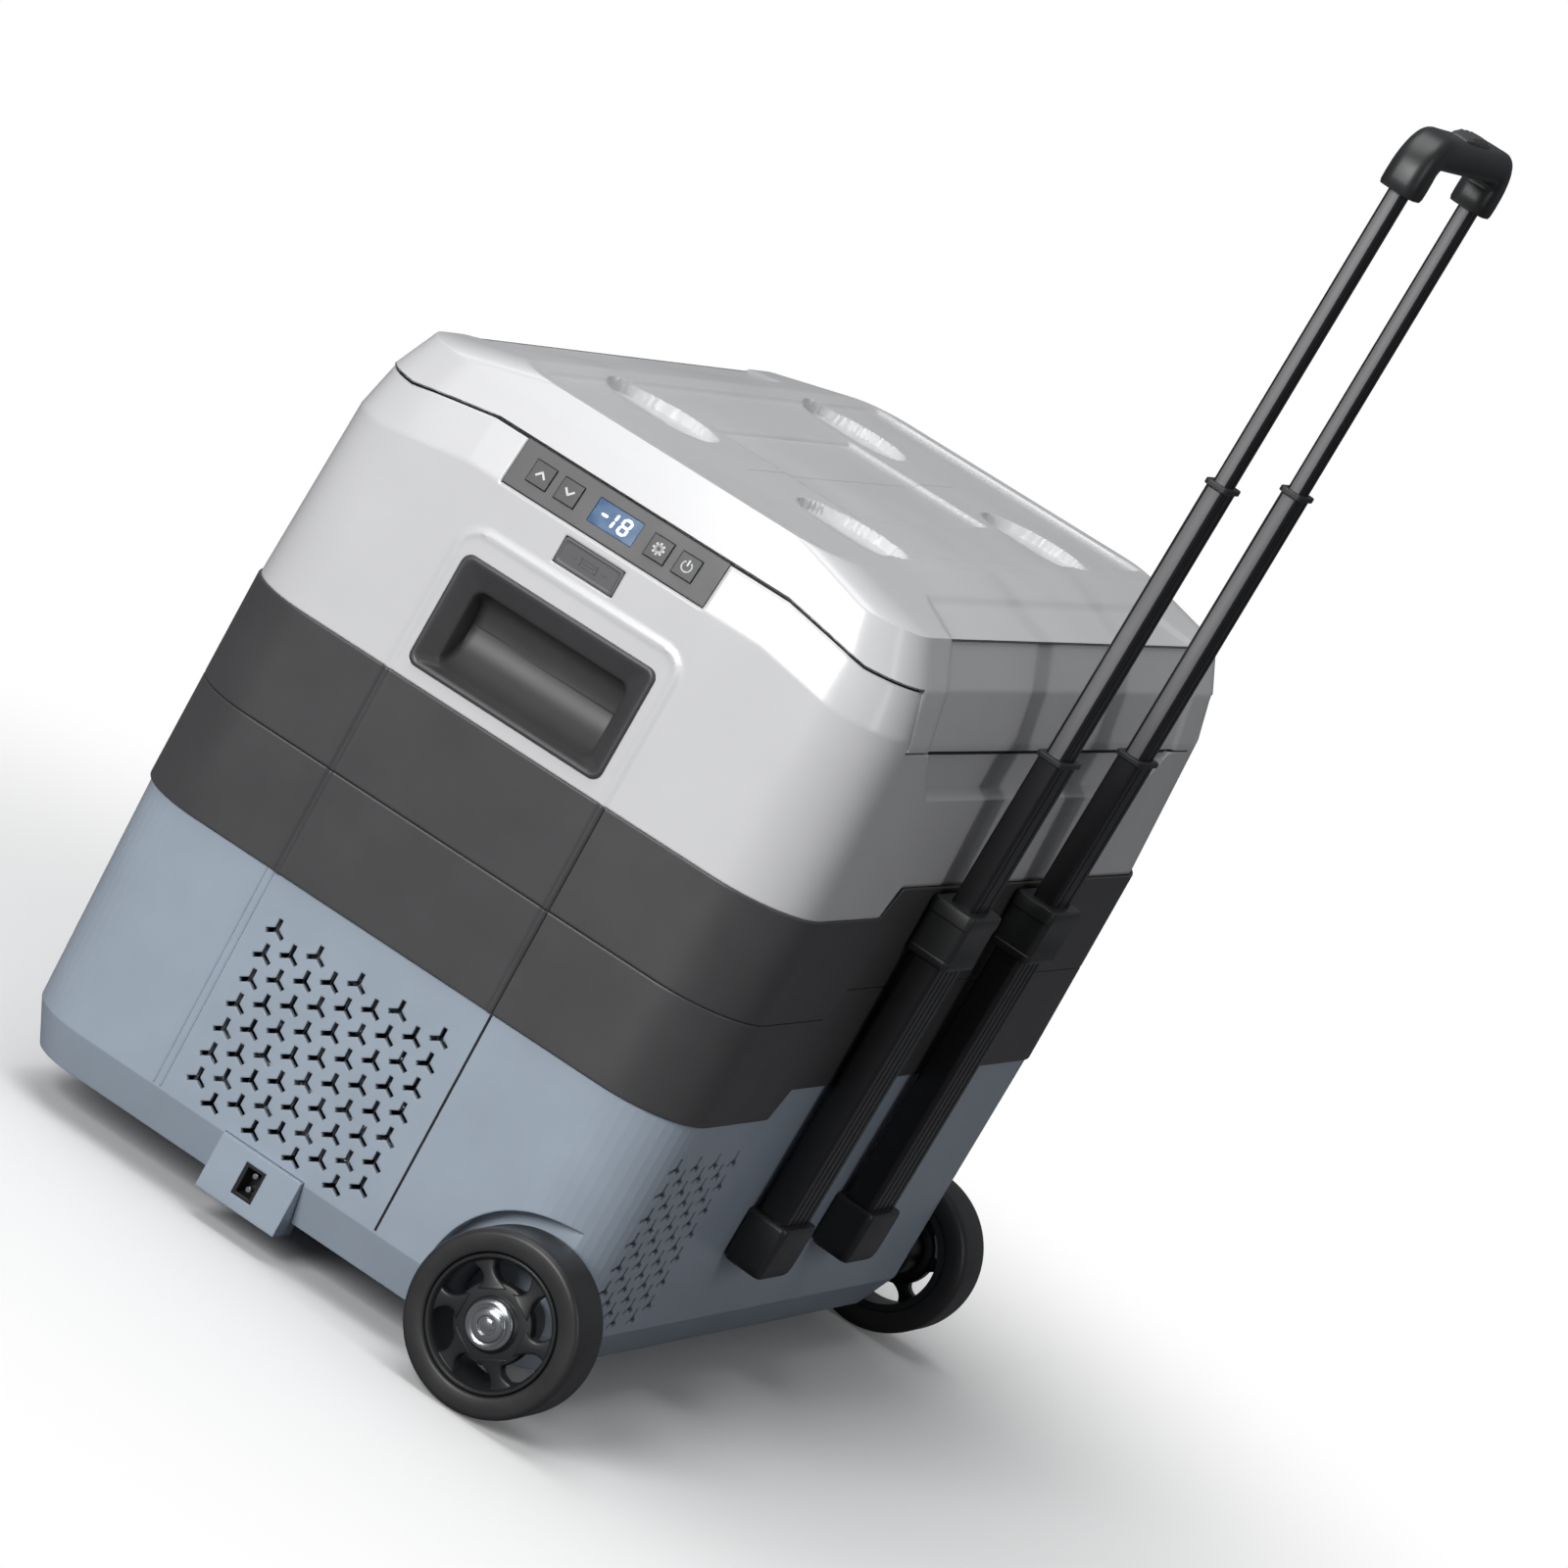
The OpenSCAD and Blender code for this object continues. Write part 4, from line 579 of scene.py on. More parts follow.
def build_lid():
    """Lid: skirt and shoulders as stacked outlines, then the top as shrinking outlines with a height field
    for the rim, tray, sunken rectangle and four round recesses that deepen towards the rear."""
    s = bpy.context.scene.cooler_lid
    xs = fine_steps((-CORE_X, CORE_X), 5.0, [(-110, 110, 3.0)])
    ys = fine_steps((-CORE_Y, CORE_Y), 2.6)
    base = perimeter(xs, ys)
    n = len(base)
    low = joint_line(base)
    side = np.abs(base[:, 0]) > HALF_W - 1e-6
    rows = []

    def ring_at(z, inward):
        zz = np.maximum(np.full(n, float(z)), low + (z - SKIRT_Z if z < SKIRT_Z + 1 else 0))
        ins = np.array([lid_profile(v) for v in np.unique(zz)])
        which = np.searchsorted(np.unique(zz), zz)
        ring = np.column_stack([inset_plan(base, ins[which, 0] + inward, ins[which, 1] + inward), zz])
        # Shallow panel sunk into both long sides
        sunk = np.where(side, smooth_step(0, 2.6, SIDE_HALF - np.abs(ring[:, 1])), 0.0)
        ring[:, 0] -= np.sign(ring[:, 0]) * SIDE_SUNK * sunk
        return ring

    # Up the outside from an inner lip, so the skirt shows a real edge when the lid is open
    for z in (455, 445, 436, 420, 407):
        rows.append(ring_at(z, WALL))
    for z, inward in ((405, 2.0), (405, 0.7), (405.25, 0.2), (405.8, 0.0)):
        rows.append(ring_at(z, inward))
    for z in (410, 420, 430, 436, 437.4, 438.6, 440, 442, 444, 446, 447.5, 450, 455, 459, 461, 462.2):
        rows.append(ring_at(z, 0))
    # Slope from the shoulder to the flat, with the sunk side panels running on up it
    shoulder_z = 463.0
    for t in (0.0, 0.03, 0.1, 0.2, 0.3, 0.4, 0.5, 0.54, 0.58, 0.62, 0.7, 0.8, 0.9, 0.96):
        z = shoulder_z + (TOP_Z - shoulder_z) * t
        in_x, in_y = lid_profile(z)
        ring = np.column_stack([inset_plan(base, in_x, in_y), np.full(n, z)])
        sunk = smooth_step(0, 2.6, SIDE_HALF - 44 * t - np.abs(ring[:, 1])) * (1 - smooth_step(0.54, 0.6, t))
        ring[:, 2] -= np.where(side, SIDE_SUNK * sunk, 0.0)
        rows.append(ring)

    def height(x, y):
        tray = 1 - smooth_step(-1.4, 1.4, np.maximum(np.abs(x) - TRAY_HALF[0], np.abs(y) - TRAY_HALF[1]))
        z = TOP_Z - 0.15 - (s.tray_depth / MM) * tray
        well = 1 - smooth_step(-1.3, 1.3, np.maximum(np.abs(x) - WELL_HALF[0], np.abs(y) - WELL_HALF[1]))
        z = z - WELL_DEPTH * well
        radius = s.cup_radius / MM
        for cx in (-CUP_AT[0], CUP_AT[0]):
            for cy in (-CUP_AT[1], CUP_AT[1]):
                d = np.hypot(x - cx, y - cy) - radius
                cup = 1 - smooth_step(-1.3, 0.5, d)
                floor = TOP_Z - s.cup_depth / MM * (0.3 + 0.7 * smooth_step(-radius, radius * 0.5, y - cy))
                z = z * (1 - cup) + np.minimum(floor, z) * cup
        return z

    in_x, in_y = lid_profile(TOP_Z)
    # The top: outlines that shrink to a line along the middle
    for d in np.concatenate([np.arange(0, 104, 1.5), [105.9]]):
        ring = np.column_stack([inset_plan(base, in_x + d, in_y + d), np.zeros(n)])
        ring[:, 2] = height(ring[:, 0], ring[:, 1])
        rows.append(ring)
    mesh_piece("lid_skin", np.concatenate(rows), grid_faces(len(rows), n, closed=True), "abs_pearl_lacquer",
               "lid", "shell_pearl", sharp=30, replaces=("lid_shell",))


def build_trim_lines():
    """Thin inlays and ribs down the front at the strip's sides: a dark gap on the right, a double rib on the
    left of the base only."""
    def face_y(z):
        return -HALF_L + (5 - 3.5 * (z - CHAMFER_Z) / 152.0 if z < BAND_Z else 0.0)

    # The black inlays are painted shadow standing in for the shade of the strip's step; the ribs are relief in
    # the base's own colour
    gap, rib = ("gap_black", "trim_dark"), ("abs_blue_grey", "base_blue_grey")
    base_span = (CHAMFER_Z + 1.5, BAND_Z - 0.4)
    for name, x, half, proud, (finish, slot), (z0, z1) in (
            ("strip_gap_base", STEP_SHADOW_X, 1.1, 0.25, gap, base_span),
            ("strip_gap_lower_band", STEP_SHADOW_X, 1.1, 0.35, gap, (BAND_Z + 1.0, MID_Z - 0.9)),
            ("strip_gap_upper_band", STEP_SHADOW_X, 1.1, 0.35, gap, (MID_Z + 1.0, UPPER_Z - 0.8)),
            ("strip_rib_left", RIB_X, 1.0, 0.5, rib, base_span),
            ("strip_rib_outer", RIB_X - 4.4, 0.8, 0.4, rib, base_span)):
        rings = []
        for z in np.linspace(z0, z1, 24):
            y = face_y(z)
            section = ((-half, 0.8), (-half * 0.6, -proud), (half * 0.6, -proud), (half, 0.8))
            rings.append([(x + dx, y + dy, z) for dx, dy in section])
        mesh_piece(name, *loft(rings), finish, "cabinet", slot)


def build_handle(name, end, node):
    """Hand pocket: a bezel with rounded rim, sloped funnel and a half-round scoop behind it.

    Rings of a rounded rectangle run from the bezel's back edge over its rim, down the funnel, and then
    shrink in height as cos(a) while they go in by sin(a), which closes the scoop along a line."""
    z = POCKET_Z[end]
    y = -HALF_L + UPPER_IN + (z - UPPER_Z) * math.tan(UPPER_TILT)
    rings = []

    def ring(hw, hh, r, depth, lift=0.0):
        p = rounded_rect(hw, hh, r, 8)
        rings.append(np.stack([p[:, 0], np.full(len(p), depth), p[:, 1] + lift], 1))

    for less, r, d in ((0.2, 6, 1.6), (0, 6, -0.6), (0.3, 6, -1.5), (1.0, 5.6, -2.05), (2.0, 5, -2.15),
                       (3.0, 4.6, -1.9)):
        ring(62.6 - less, 33.1 - less, r, d)
    for t in (0.1, 0.35, 0.65, 0.9):
        ring(59.0 - 8.6 * t, 29.6 - 6.2 * t, 4.6 + 1.0 * t, -1.6 + 6.8 * t, -4.4 * t)
    ring(49.9, 23.0, 5.6, 5.6, -4.6)
    ring(49.5, 22.6, 5.6, 6.4, -4.6)
    for a in np.linspace(8, 88, 14):
        a = math.radians(a)
        ring(48.9, 22.0 * math.cos(a) + 0.1, 5 * math.cos(a) + 0.05, 6.4 + 18.0 * math.sin(a),
             -4.6 + 3.0 * math.sin(a))
    points, faces = loft(rings, cap_first=False)
    p = on_plane(y, z, UPPER_TILT, points, x=FRONT_X if end < 0 else 0.0)
    if end > 0:
        p[:, 0] *= -1
        p[:, 1] *= -1
    mesh_piece(name, p, faces, "nylon_dark_trim", "cabinet", "trim_dark", replaces=(node,), sharp=55)


def flat_shape(polygon, face_y):
    """A thin printed or lit shape: a polygon in (across, up) lifted to face_y, with a second layer behind."""
    polygon = np.asarray(polygon, float)
    front = np.stack([polygon[:, 0], np.full(len(polygon), face_y), polygon[:, 1]], 1)
    back = front + np.array([0, 0.12, 0])
    return loft([back, front])


def stroke(points, width, closed=False):
    """A polyline drawn with a pen of that width, as short quads in (across, up)."""
    points = [np.asarray(p, float) for p in points]
    out = []
    pairs = list(zip(points, points[1:] + points[:1])) if closed else list(zip(points, points[1:]))
    for a, b in pairs:
        d = (b - a) / np.linalg.norm(b - a)
        nrm = np.array([-d[1], d[0]]) * width / 2
        a2, b2 = a - d * width * 0.3, b + d * width * 0.3
        out.append(np.array([a2 - nrm, b2 - nrm, b2 + nrm, a2 + nrm]))
    return out


def build_panel():
    """Icons on the four buttons and the lit reading on the display, on the leaning control panel."""
    y = -HALF_L + (CREASE_IN + BROW_IN) / 2
    z = CREASE_Z + (JOINT_Z - CREASE_Z) / 2

    def put(name, shapes, face_y, finish, slot, body):
        points, faces = join([flat_shape(s, face_y) for s in shapes])
        mesh_piece(name, on_plane(y, z, BROW_TILT, points), faces, finish, body, slot, sharp=30)

    def shifted(shapes, dx, dy=0.0):
        return [s + np.array([dx, dy]) for s in shapes]

    up = stroke([(-2.6, -1.3), (0, 1.5), (2.6, -1.3)], 1.1)
    down = stroke([(-2.6, 1.3), (0, -1.5), (2.6, 1.3)], 1.1)
    arc = [(2.9 * math.sin(math.radians(a)), 2.9 * math.cos(math.radians(a))) for a in range(35, 326, 15)]
    power = stroke(arc, 0.8) + stroke([(0, 0.6), (0, 3.6)], 0.9)
    ring = [(1.9 * math.cos(math.radians(a)), 1.9 * math.sin(math.radians(a))) for a in range(0, 360, 20)]
    gear = stroke(ring, 1.3, closed=True)
    for k in range(8):
        a = math.radians(45 * k)
        gear += stroke([(2.3 * math.cos(a), 2.3 * math.sin(a)), (3.2 * math.cos(a), 3.2 * math.sin(a))], 1.2)
    for name, shapes, x, body in (("icon_up", up, -48, "up_button"), ("icon_down", down, -30, "down_button"),
                                  ("icon_settings", gear, 28, "settings_button"),
                                  ("icon_power", power, 46, "power_button")):
        put(name, shifted(shapes, x), -1.3, "ink_white", "display", body)
    # Seven-segment digits, slanted, with bevelled ends: minus, one, eight
    slant = 0.12

    def segment(x, yy, length, upright):
        h, t = length / 2, 0.75
        if upright:
            pts = [(-t, -h + t), (0, -h), (t, -h + t), (t, h - t), (0, h), (-t, h - t)]
        else:
            pts = [(-h, 0), (-h + t, -t), (h - t, -t), (h, 0), (h - t, t), (-h + t, t)]
        pts = np.array(pts) + np.array([x, yy])
        pts[:, 0] += slant * pts[:, 1]
        return pts

    digit_h = 4.1
    lit = [segment(-7.0, 0, 4.4, False)]
    for yy in (-digit_h / 2 - 0.1, digit_h / 2 + 0.1):
        lit.append(segment(-0.6, yy, digit_h, True))
        lit.append(segment(3.6, yy, digit_h, True))
        lit.append(segment(8.2, yy, digit_h, True))
    for yy in (-digit_h - 0.1, 0, digit_h + 0.1):
        lit.append(segment(5.9, yy, digit_h, False))
    put("display_digits", lit, -0.32, "led_segment_white", "display", "cabinet")


def build_usb_cover():
    """Soft flap with rounded edges, a raised border and a small embossed socket outline."""
    z = float(USB_Z)
    y = -HALF_L + UPPER_IN + (z - UPPER_Z) * math.tan(UPPER_TILT)
    rings = []
    for inset, depth in ((0.3, 2.1), (0.0, 1.6), (0.0, 0.3), (0.3, -0.2), (0.9, -0.3), (1.6, -0.3),
                         (1.9, -0.05), (2.4, -0.05)):
        p = rounded_rect(USB_HW - 0.3 - inset, USB_HH - 0.3 - inset, 1.8, 6)
        rings.append(np.stack([p[:, 0], np.full(len(p), depth), p[:, 1]], 1))
    parts = [loft(rings, cap_first=False)]
    marks = stroke([(-5, -2), (5, -2), (5, 2), (-5, 2)], 0.5, closed=True)
    marks += stroke([(-3.2, 0.2), (3.2, 0.2)], 0.9)
    marks += stroke([(-11, 0), (-8, 0)], 0.5) + stroke([(8, 0), (11, 0)], 0.5)
    parts += [flat_shape(m, -0.34) for m in marks]
    points, faces = join(parts)
    mesh_piece("usb_flap_skin", on_plane(y, z, UPPER_TILT, points), faces, "tpe_flap_grey", "usb_flap",
               "rubber", replaces=("usb_cover",))


def build_wheel(name, end, body, tyre, rim):
    """Wheel: a turned tyre with rounded shoulders and a flat side, a turned rim ring and hub, and webs that
    widen at both ends, which leaves rounded windows between them."""
    place, w = on_axle(end), WHEEL_W
    tread = [(37.2, 1.2), (38.4, 0.5), (44.0, 0.3), (47.2, 0.9), (49.0, 2.4), (49.8, 4.6), (50.0, 8.0),
             (50.0, w - 6), (49.7, w - 3.4), (49.0, w - 1.6), (47.9, w - 0.6), (46.6, w - 0.3), (39.0, w - 0.3),
             (38.2, w - 0.6), (37.6, w - 1.4), (37.2, w - 3), (37.2, 1.2)]
    mesh_piece(name + "_tyre_skin", *lathe(tread, 96, place), "pu_tyre", body, "rubber", replaces=(tyre,),
               sharp=50)
    ring = [(36.9, 1.4), (36.9, w - 1.6), (36.2, w - 0.9), (35.0, w - 1.0), (34.0, w - 2.4), (33.2, w - 5.0),
            (32.6, w - 12.5), (32.6, 1.4), (36.9, 1.4)]
    bore = 5.06
    hub = [(bore, 0.6), (15.8, 0.6), (16.2, 4), (16.2, w - 13), (20.6, w - 12.6), (22.2, w - 11.4),
           (22.6, w - 5.6), (21.8, w - 4.0), (19.0, w - 3.3), (15.2, w - 3.2), (14.6, w - 2.2), (13.9, w - 1.4),
           (bore, w - 1.4), (bore, 0.6)]
    parts = [lathe(ring, 96, place), lathe(hub, 64, place)]
    spokes, inner, outer = bpy.context.scene.cooler_running.spokes, 18.5, 34.4
    for k in range(spokes):
        start = 2 * math.pi * k / spokes
        rings = []
        for t in np.linspace(0, 1, 9):
            r = inner + (outer - inner) * t
            a = start + 0.16 * t
            half = 3.6 + 4.6 * (2 * t - 1) ** 2
            section = rounded_rect(half, 4.2, 1.6, 4)
            tangent = a + math.pi / 2 + 0.1 * math.sin(math.pi * t)
            cx, cy = r * math.cos(a), r * math.sin(a)
            rings.append(np.stack([cx + section[:, 0] * math.cos(tangent),
                                   cy + section[:, 0] * math.sin(tangent),
                                   w - 8.2 + section[:, 1] + 1.2 * (1 - t)], 1))
        points, faces = loft(rings)
        parts.append((place(points), faces))
    points, faces = join(parts)
    mesh_piece(name + "_rim_skin", points, faces, "abs_black_fine", body, "black_plastic", replaces=(rim,),
               sharp=42)


def build_hub_caps():
    """Plated caps on the axle's ends: a turned dome with a recessed ring and a hexagonal middle."""
    parts = []
    w = WHEEL_W - 0.6
    for end in (-1, 1):
        place = on_axle(end)
        parts.append(lathe([(0.01, w - 0.2), (13.2, w - 0.2), (13.5, w + 0.3), (13.4, w + 1.2), (12.8, w + 1.8),
                            (11.4, w + 2.1), (10.6, w + 1.5), (9.6, w + 1.4), (8.9, w + 2.0), (8.6, w + 3.4),
                            (7.6, w + 3.9), (5.4, w + 4.1), (4.9, w + 3.4), (0.01, w + 3.3)], 48, place))
        hexagon = []
        for h, r in ((3.2, 3.9), (4.2, 3.9), (4.35, 3.6)):
            a = np.radians(np.arange(0, 360, 60))
            hexagon.append(np.stack([r * np.cos(a), r * np.sin(a), np.full(6, w + h)], 1))
        points, faces = loft(hexagon)
        parts.append((place(points), faces))
    points, faces = join(parts)
    mesh_piece("hub_cap_skin", points, faces, "plated_silver_plastic", "cabinet", "hub_silver",
               replaces=("hub_caps",), sharp=40)


def extrusion(half_t, half_w, radius, grooves, depth, width):
    """Cross-section of a drawn tube: rounded rectangle, with grooves of that depth and width in both broad
    faces."""
    def corner(cx, cy, first):
        turn = np.radians(np.linspace(first, first + 90, 6))
        return [(cx + radius * math.cos(a), cy + radius * math.sin(a)) for a in turn]

    out = corner(half_t - radius, -half_w + radius, -90)
    for g in grooves:
        out += [(half_t, g - width / 2), (half_t - depth, g - width / 2 + 0.3),
                (half_t - depth, g + width / 2 - 0.3), (half_t, g + width / 2)]
    out += corner(half_t - radius, half_w - radius, 0)
    out += corner(-half_t + radius, half_w - radius, 90)
    for g in grooves[::-1]:
        out += [(-half_t, g + width / 2), (-half_t + depth, g + width / 2 - 0.3),
                (-half_t + depth, g - width / 2 + 0.3), (-half_t, g - width / 2)]
    out += corner(-half_t + radius, -half_w + radius, 180)
    return np.array(out)


def tube_part(section, stops, side):
    """A cross-section carried along the leg through (place, scale) stops, on one side's leg."""
    rings = [np.stack([section[:, 0] * k, section[:, 1] * k, np.full(len(section), s)], 1) for s, k in stops]
    points, faces = loft(rings)
    return on_leg(points, side), faces


def build_trolley():
    """Telescopic handle: grooved tubes, step lips, collars, foot caps, a swept grip and its button."""
    def both(name, pieces, finish, body, slot, nodes=(), sharp=35):
        """The same pieces, a cross-section and its stops each, on both legs."""
        points, faces = join([tube_part(section, stops, side) for side in (-1, 1) for section, stops in pieces])
        mesh_piece(name, points, faces, finish, body, slot, replaces=nodes, sharp=sharp)

    def inlay(half_t, half_w, first, last):
        """Grey strips let into both narrow faces of a stage, as two thin slabs."""
        slab = rounded_rect(half_t * 0.66, 0.22, 0.1, 3)
        return [(slab + np.array([0, face * half_w]), [(first, 1), (last, 1)]) for face in (-1, 1)]

    def lip(half_t, half_w, top):
        stops = [(top - 3.2, 0.97), (top - 2.9, 1), (top - 0.4, 1), (top, 0.96)]
        return rounded_rect(half_t, half_w, 2.5, 6), stops

    # Each stage: body, node, half thickness, half width, corner radius, grooves, their depth and width, ends
    stages = {
        "outer": ("cabinet", "outer_tubes", 9, 20, 3, [-11.5, -4, 4, 11.5], 0.8, 2.4, -204, 18),
        "first": ("trolley_lower", "first_stage_tubes", 7, 15, 2, [-7, 7], 0.7, 2.6, -99, 114),
        "second": ("trolley_middle", "second_stage_tubes", 5.75, 11, 2, [-4.5, 4.5], 0.6, 2.2, 75, 285),
        "third": ("trolley_upper", "third_stage_tubes", 4.65, 7.5, 2, [0], 0.5, 2.6, 254, 476),
    }
    black = "abs_black_fine"
    for name, (body, node, *shape, low, high) in stages.items():
        both(name + "_tube_skin", [(extrusion(*shape), [(low, 1), (high, 1)])], "aluminium_black_anodised",
             body, "tube_grey", (node,))
    for name in ("first", "second"):
        body, node, half_t, half_w, *_, high = stages[name]
        both(name + "_tube_lip", [lip(half_t + 1.5, half_w + 1.5, high + 2)], black, body, "black_plastic")
    for name in ("second", "third"):
        body, node, half_t, half_w, *_, low, high = stages[name]
        both(name + "_tube_inlay", inlay(half_t, half_w, low + 2, min(high - 2, GRIP_FOOT)),
             "aluminium_grey_anodised", body, "tube_grey")
    toward_wall = rounded_rect(13.6, 24, 4, 8) - np.array([0.6, 0])
    collar = [(-12.9, 0.93), (-12.4, 0.97), (-11, 1), (-8.5, 1), (-8, 0.975), (12, 0.975), (12.5, 1), (18.4, 1),
              (20.2, 0.98), (20.9, 0.93)]
    both("collar_skin", [(toward_wall, collar)], black, "cabinet", "black_plastic", ("leg_collars",), 40)
    cap = [(-212, 0.80), (-211.4, 0.88), (-209.5, 0.95), (-206, 0.985), (-198, 1), (-182, 1), (-180.2, 0.985),
           (-179.2, 0.95)]
    both("leg_cap_skin", [(rounded_rect(13, 24, 4, 8), cap)], black, "cabinet", "black_plastic",
         ("leg_caps",), 40)
    # Grip: a soft rounded section carried round a U, thicker where it holds the tubes
    half, foot, bar_z, r = LEG_HALF, GRIP_FOOT, GRIP_FOOT + 28.0, 15.0
    path = [(-half - 0.2, foot, 11.2, 10.6), (-half, foot + 2, 12.6, 10.9), (-half, foot + 7, 12.8, 11)]
    for a in np.linspace(0, 90, 9):
        a = math.radians(a)
        path.append((-half + r * (1 - math.cos(a)), bar_z - r + r * math.sin(a), 12.4 - 2.9 * math.sin(a), 11))
    for t in np.linspace(-1, 1, 13)[1:-1]:
        path.append((t * (half - r), bar_z, 9.4, 10.6 + 0.4 * t * t))
    for a in np.linspace(90, 0, 9):
        a = math.radians(a)
        path.append((half - r * (1 - math.cos(a)), bar_z - r + r * math.sin(a), 12.4 - 2.9 * math.sin(a), 11))
    path += [(half, foot + 7, 12.8, 11), (half, foot + 2, 12.6, 10.9), (half + 0.2, foot, 11.2, 10.6)]
    path = np.array(path)
    centre = path[:, :2]
    tangent = np.gradient(centre, axis=0)
    tangent[:3] = (0, 1)
    tangent[-3:] = (0, -1)
    tangent /= np.linalg.norm(tangent, axis=1)[:, None]
    rings = []
    for (cy, cz, wide, deep), (ty, tz) in zip(path, tangent):
        section = rounded_rect(wide, deep, min(wide, deep) * 0.62, 6)
        ny, nz = -tz, ty
        rings.append(np.stack([section[:, 1], cy + section[:, 0] * ny, cz + section[:, 0] * nz], 1))
    points, faces = loft(rings)
    seat = foot + 38
    points[:, 2] = np.minimum(points[:, 2], seat - 0.1)
    mesh_piece("grip_skin", on_leg(points), faces, black, "trolley_upper", "black_plastic",
               replaces=("trolley_grip",), sharp=45)
    # Button: an arched cap with five cross ribs
    rings = []
    for t in np.linspace(-1, 1, 41):
        rib = 0.35 * smooth_step(-0.2, 0.5, math.cos(t * 14.0)) if abs(t) < 0.8 else 0.0
        rise = 2.6 * (1 - abs(t) ** 3.5) + 0.2 + float(rib)
        half_x = 6.4 * (1 - 0.25 * abs(t) ** 6)
        arch = [(-1, -2.0), (-1, rise * 0.4 - 0.4), (-0.75, rise - 0.2), (0, rise), (0.75, rise - 0.2),
                (1, rise * 0.4 - 0.4), (1, -2.0)]
        rings.append([(half_x * k, t * 22.8, seat + up) for k, up in arch])
    points, faces = loft(rings)
    mesh_piece("release_button_skin", on_leg(points), faces, "nylon_dark_trim", "trolley_release",
               "black_plastic", replaces=("release_button",), sharp=40)


def finish_cad_nodes():
    """Gives every CAD node its procedural finish."""
    for name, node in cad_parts.items():
        node.data.materials.clear()
        node.data.materials.append(MADE[FINISH[name]])


def build_floor():
    """Pale floor that fades to white away from the object."""
    mat = bpy.data.materials.new("studio_floor")
    mat.use_nodes = True
    tree = mat.node_tree
    tree.nodes.clear()
    place = add_node(tree, "ShaderNodeTexCoord").outputs["Object"]
    away = add_node(tree, "ShaderNodeVectorMath", [(place, 0)], operation="LENGTH").outputs["Value"]
    fade = add_node(tree, "ShaderNodeMapRange", [(away, "Value")], From_Min=0.25, From_Max=0.8,
                    interpolation_type="SMOOTHSTEP").outputs[0]
    seen = add_node(tree, "ShaderNodeLightPath").outputs["Is Camera Ray"]
    tone = add_node(tree, "ShaderNodeMix", [(seen, "Factor")], data_type="RGBA")
    tone.inputs["A"].default_value = (0.2, 0.2, 0.21, 1)
    tone.inputs["B"].default_value = tuple(bpy.context.scene.cooler_stage.floor) + (1.0,)
    floor = add_node(tree, "ShaderNodeBsdfDiffuse", [(tone.outputs["Result"], "Color")])
    white = add_node(tree, "ShaderNodeEmission", Color=(1, 1, 1, 1), Strength=1.0)
    # Only the camera sees the white distance, so that it throws no light on the object
    glow = add_node(tree, "ShaderNodeMath", [(fade, 0), (seen, 1)], operation="MULTIPLY").outputs[0]
    both = add_node(tree, "ShaderNodeMixShader", [(glow, "Fac"), (floor.outputs[0], 1), (white.outputs[0], 2)])
    add_node(tree, "ShaderNodeOutputMaterial", [(both.outputs[0], "Surface")])
    mesh = bpy.data.meshes.new("studio_floor")
    reach, below = 9, -0.0005
    corners = [(-reach, -reach, below), (reach, -reach, below), (reach, reach, below), (-reach, reach, below)]
    mesh.from_pydata(corners, [], [(0, 1, 2, 3)])
    mesh.materials.append(mat)
    obj = bpy.data.objects.new("studio_floor", mesh)
    bpy.context.scene.collection.objects.link(obj)


def build_world():
    """Soft light from all round, and plain white surroundings for the camera."""
    world = bpy.data.worlds.new("studio")
    bpy.context.scene.world = world
    world.use_nodes = True
    tree = world.node_tree
    tree.nodes.clear()
    seen = add_node(tree, "ShaderNodeLightPath").outputs["Is Camera Ray"]
    ambient = add_node(tree, "ShaderNodeBackground", Color=(0.93, 0.96, 1.0, 1), Strength=0.16)
    plain = add_node(tree, "ShaderNodeBackground", Color=(1, 1, 1, 1), Strength=1.0)
    mixed = add_node(tree, "ShaderNodeMixShader", [(seen, "Fac"), (ambient.outputs[0], 1),
                                                   (plain.outputs[0], 2)])
    add_node(tree, "ShaderNodeOutputWorld", [(mixed.outputs[0], "Surface")])


def put_on_stage(name, data, where, aim, roll=0.0):
    """Places a light or the camera, looking at a point and turned about its own axis."""
    obj = bpy.data.objects.new(name, data)
    obj.location = where
    obj.rotation_mode = "QUATERNION"
    turn = (Vector(aim) - Vector(where)).to_track_quat("-Z", "Y").to_matrix().to_4x4()
    obj.rotation_quaternion = (turn @ Matrix.Rotation(roll, 4, "Z")).to_quaternion()
    bpy.context.scene.collection.objects.link(obj)
    return obj


def build_lights():
    """A large softbox at the front left, a dim strip at the right and a soft one above."""
    key = bpy.context.scene.cooler_stage.key
    for name, where, aim, size, power in (
            ("key_front", (-0.5, -3.4, 1.5), (0, 0, 0.25), (1.2, 1.6), key),
            ("side_right", (2.9, -0.9, 1.5), (0, 0, 0.3), (0.5, 1.8), key * 0.12),
            ("top", (-0.5, -0.4, 3.0), (0, 0, 0.4), (2.0, 2.0), key * 0.50)):
        light = bpy.data.lights.new(name, "AREA")
        light.shape, light.size, light.size_y = "RECTANGLE", size[0], size[1]
        light.energy = power
        put_on_stage(name, light, where, aim)


def build_camera():
    """Camera at the angle, distance and tilt of the photographed cooler, with everything in focus."""
    scene = bpy.context.scene
    shift = centre_x() * MM
    cam = bpy.data.cameras.new("camera")
    cam.sensor_width, cam.lens = 36.0, 172.6
    cam.clip_start, cam.clip_end = 0.1, 60.0
    scene.camera = put_on_stage("camera", cam, (1.2966 + shift, -3.8752, 1.0871),
                                (0.0450 + shift, 0.0168, 0.3054), scene.cooler_stage.roll)
    scene.view_settings.view_transform = "Standard"


# ---------------------------------------------------------------- operators


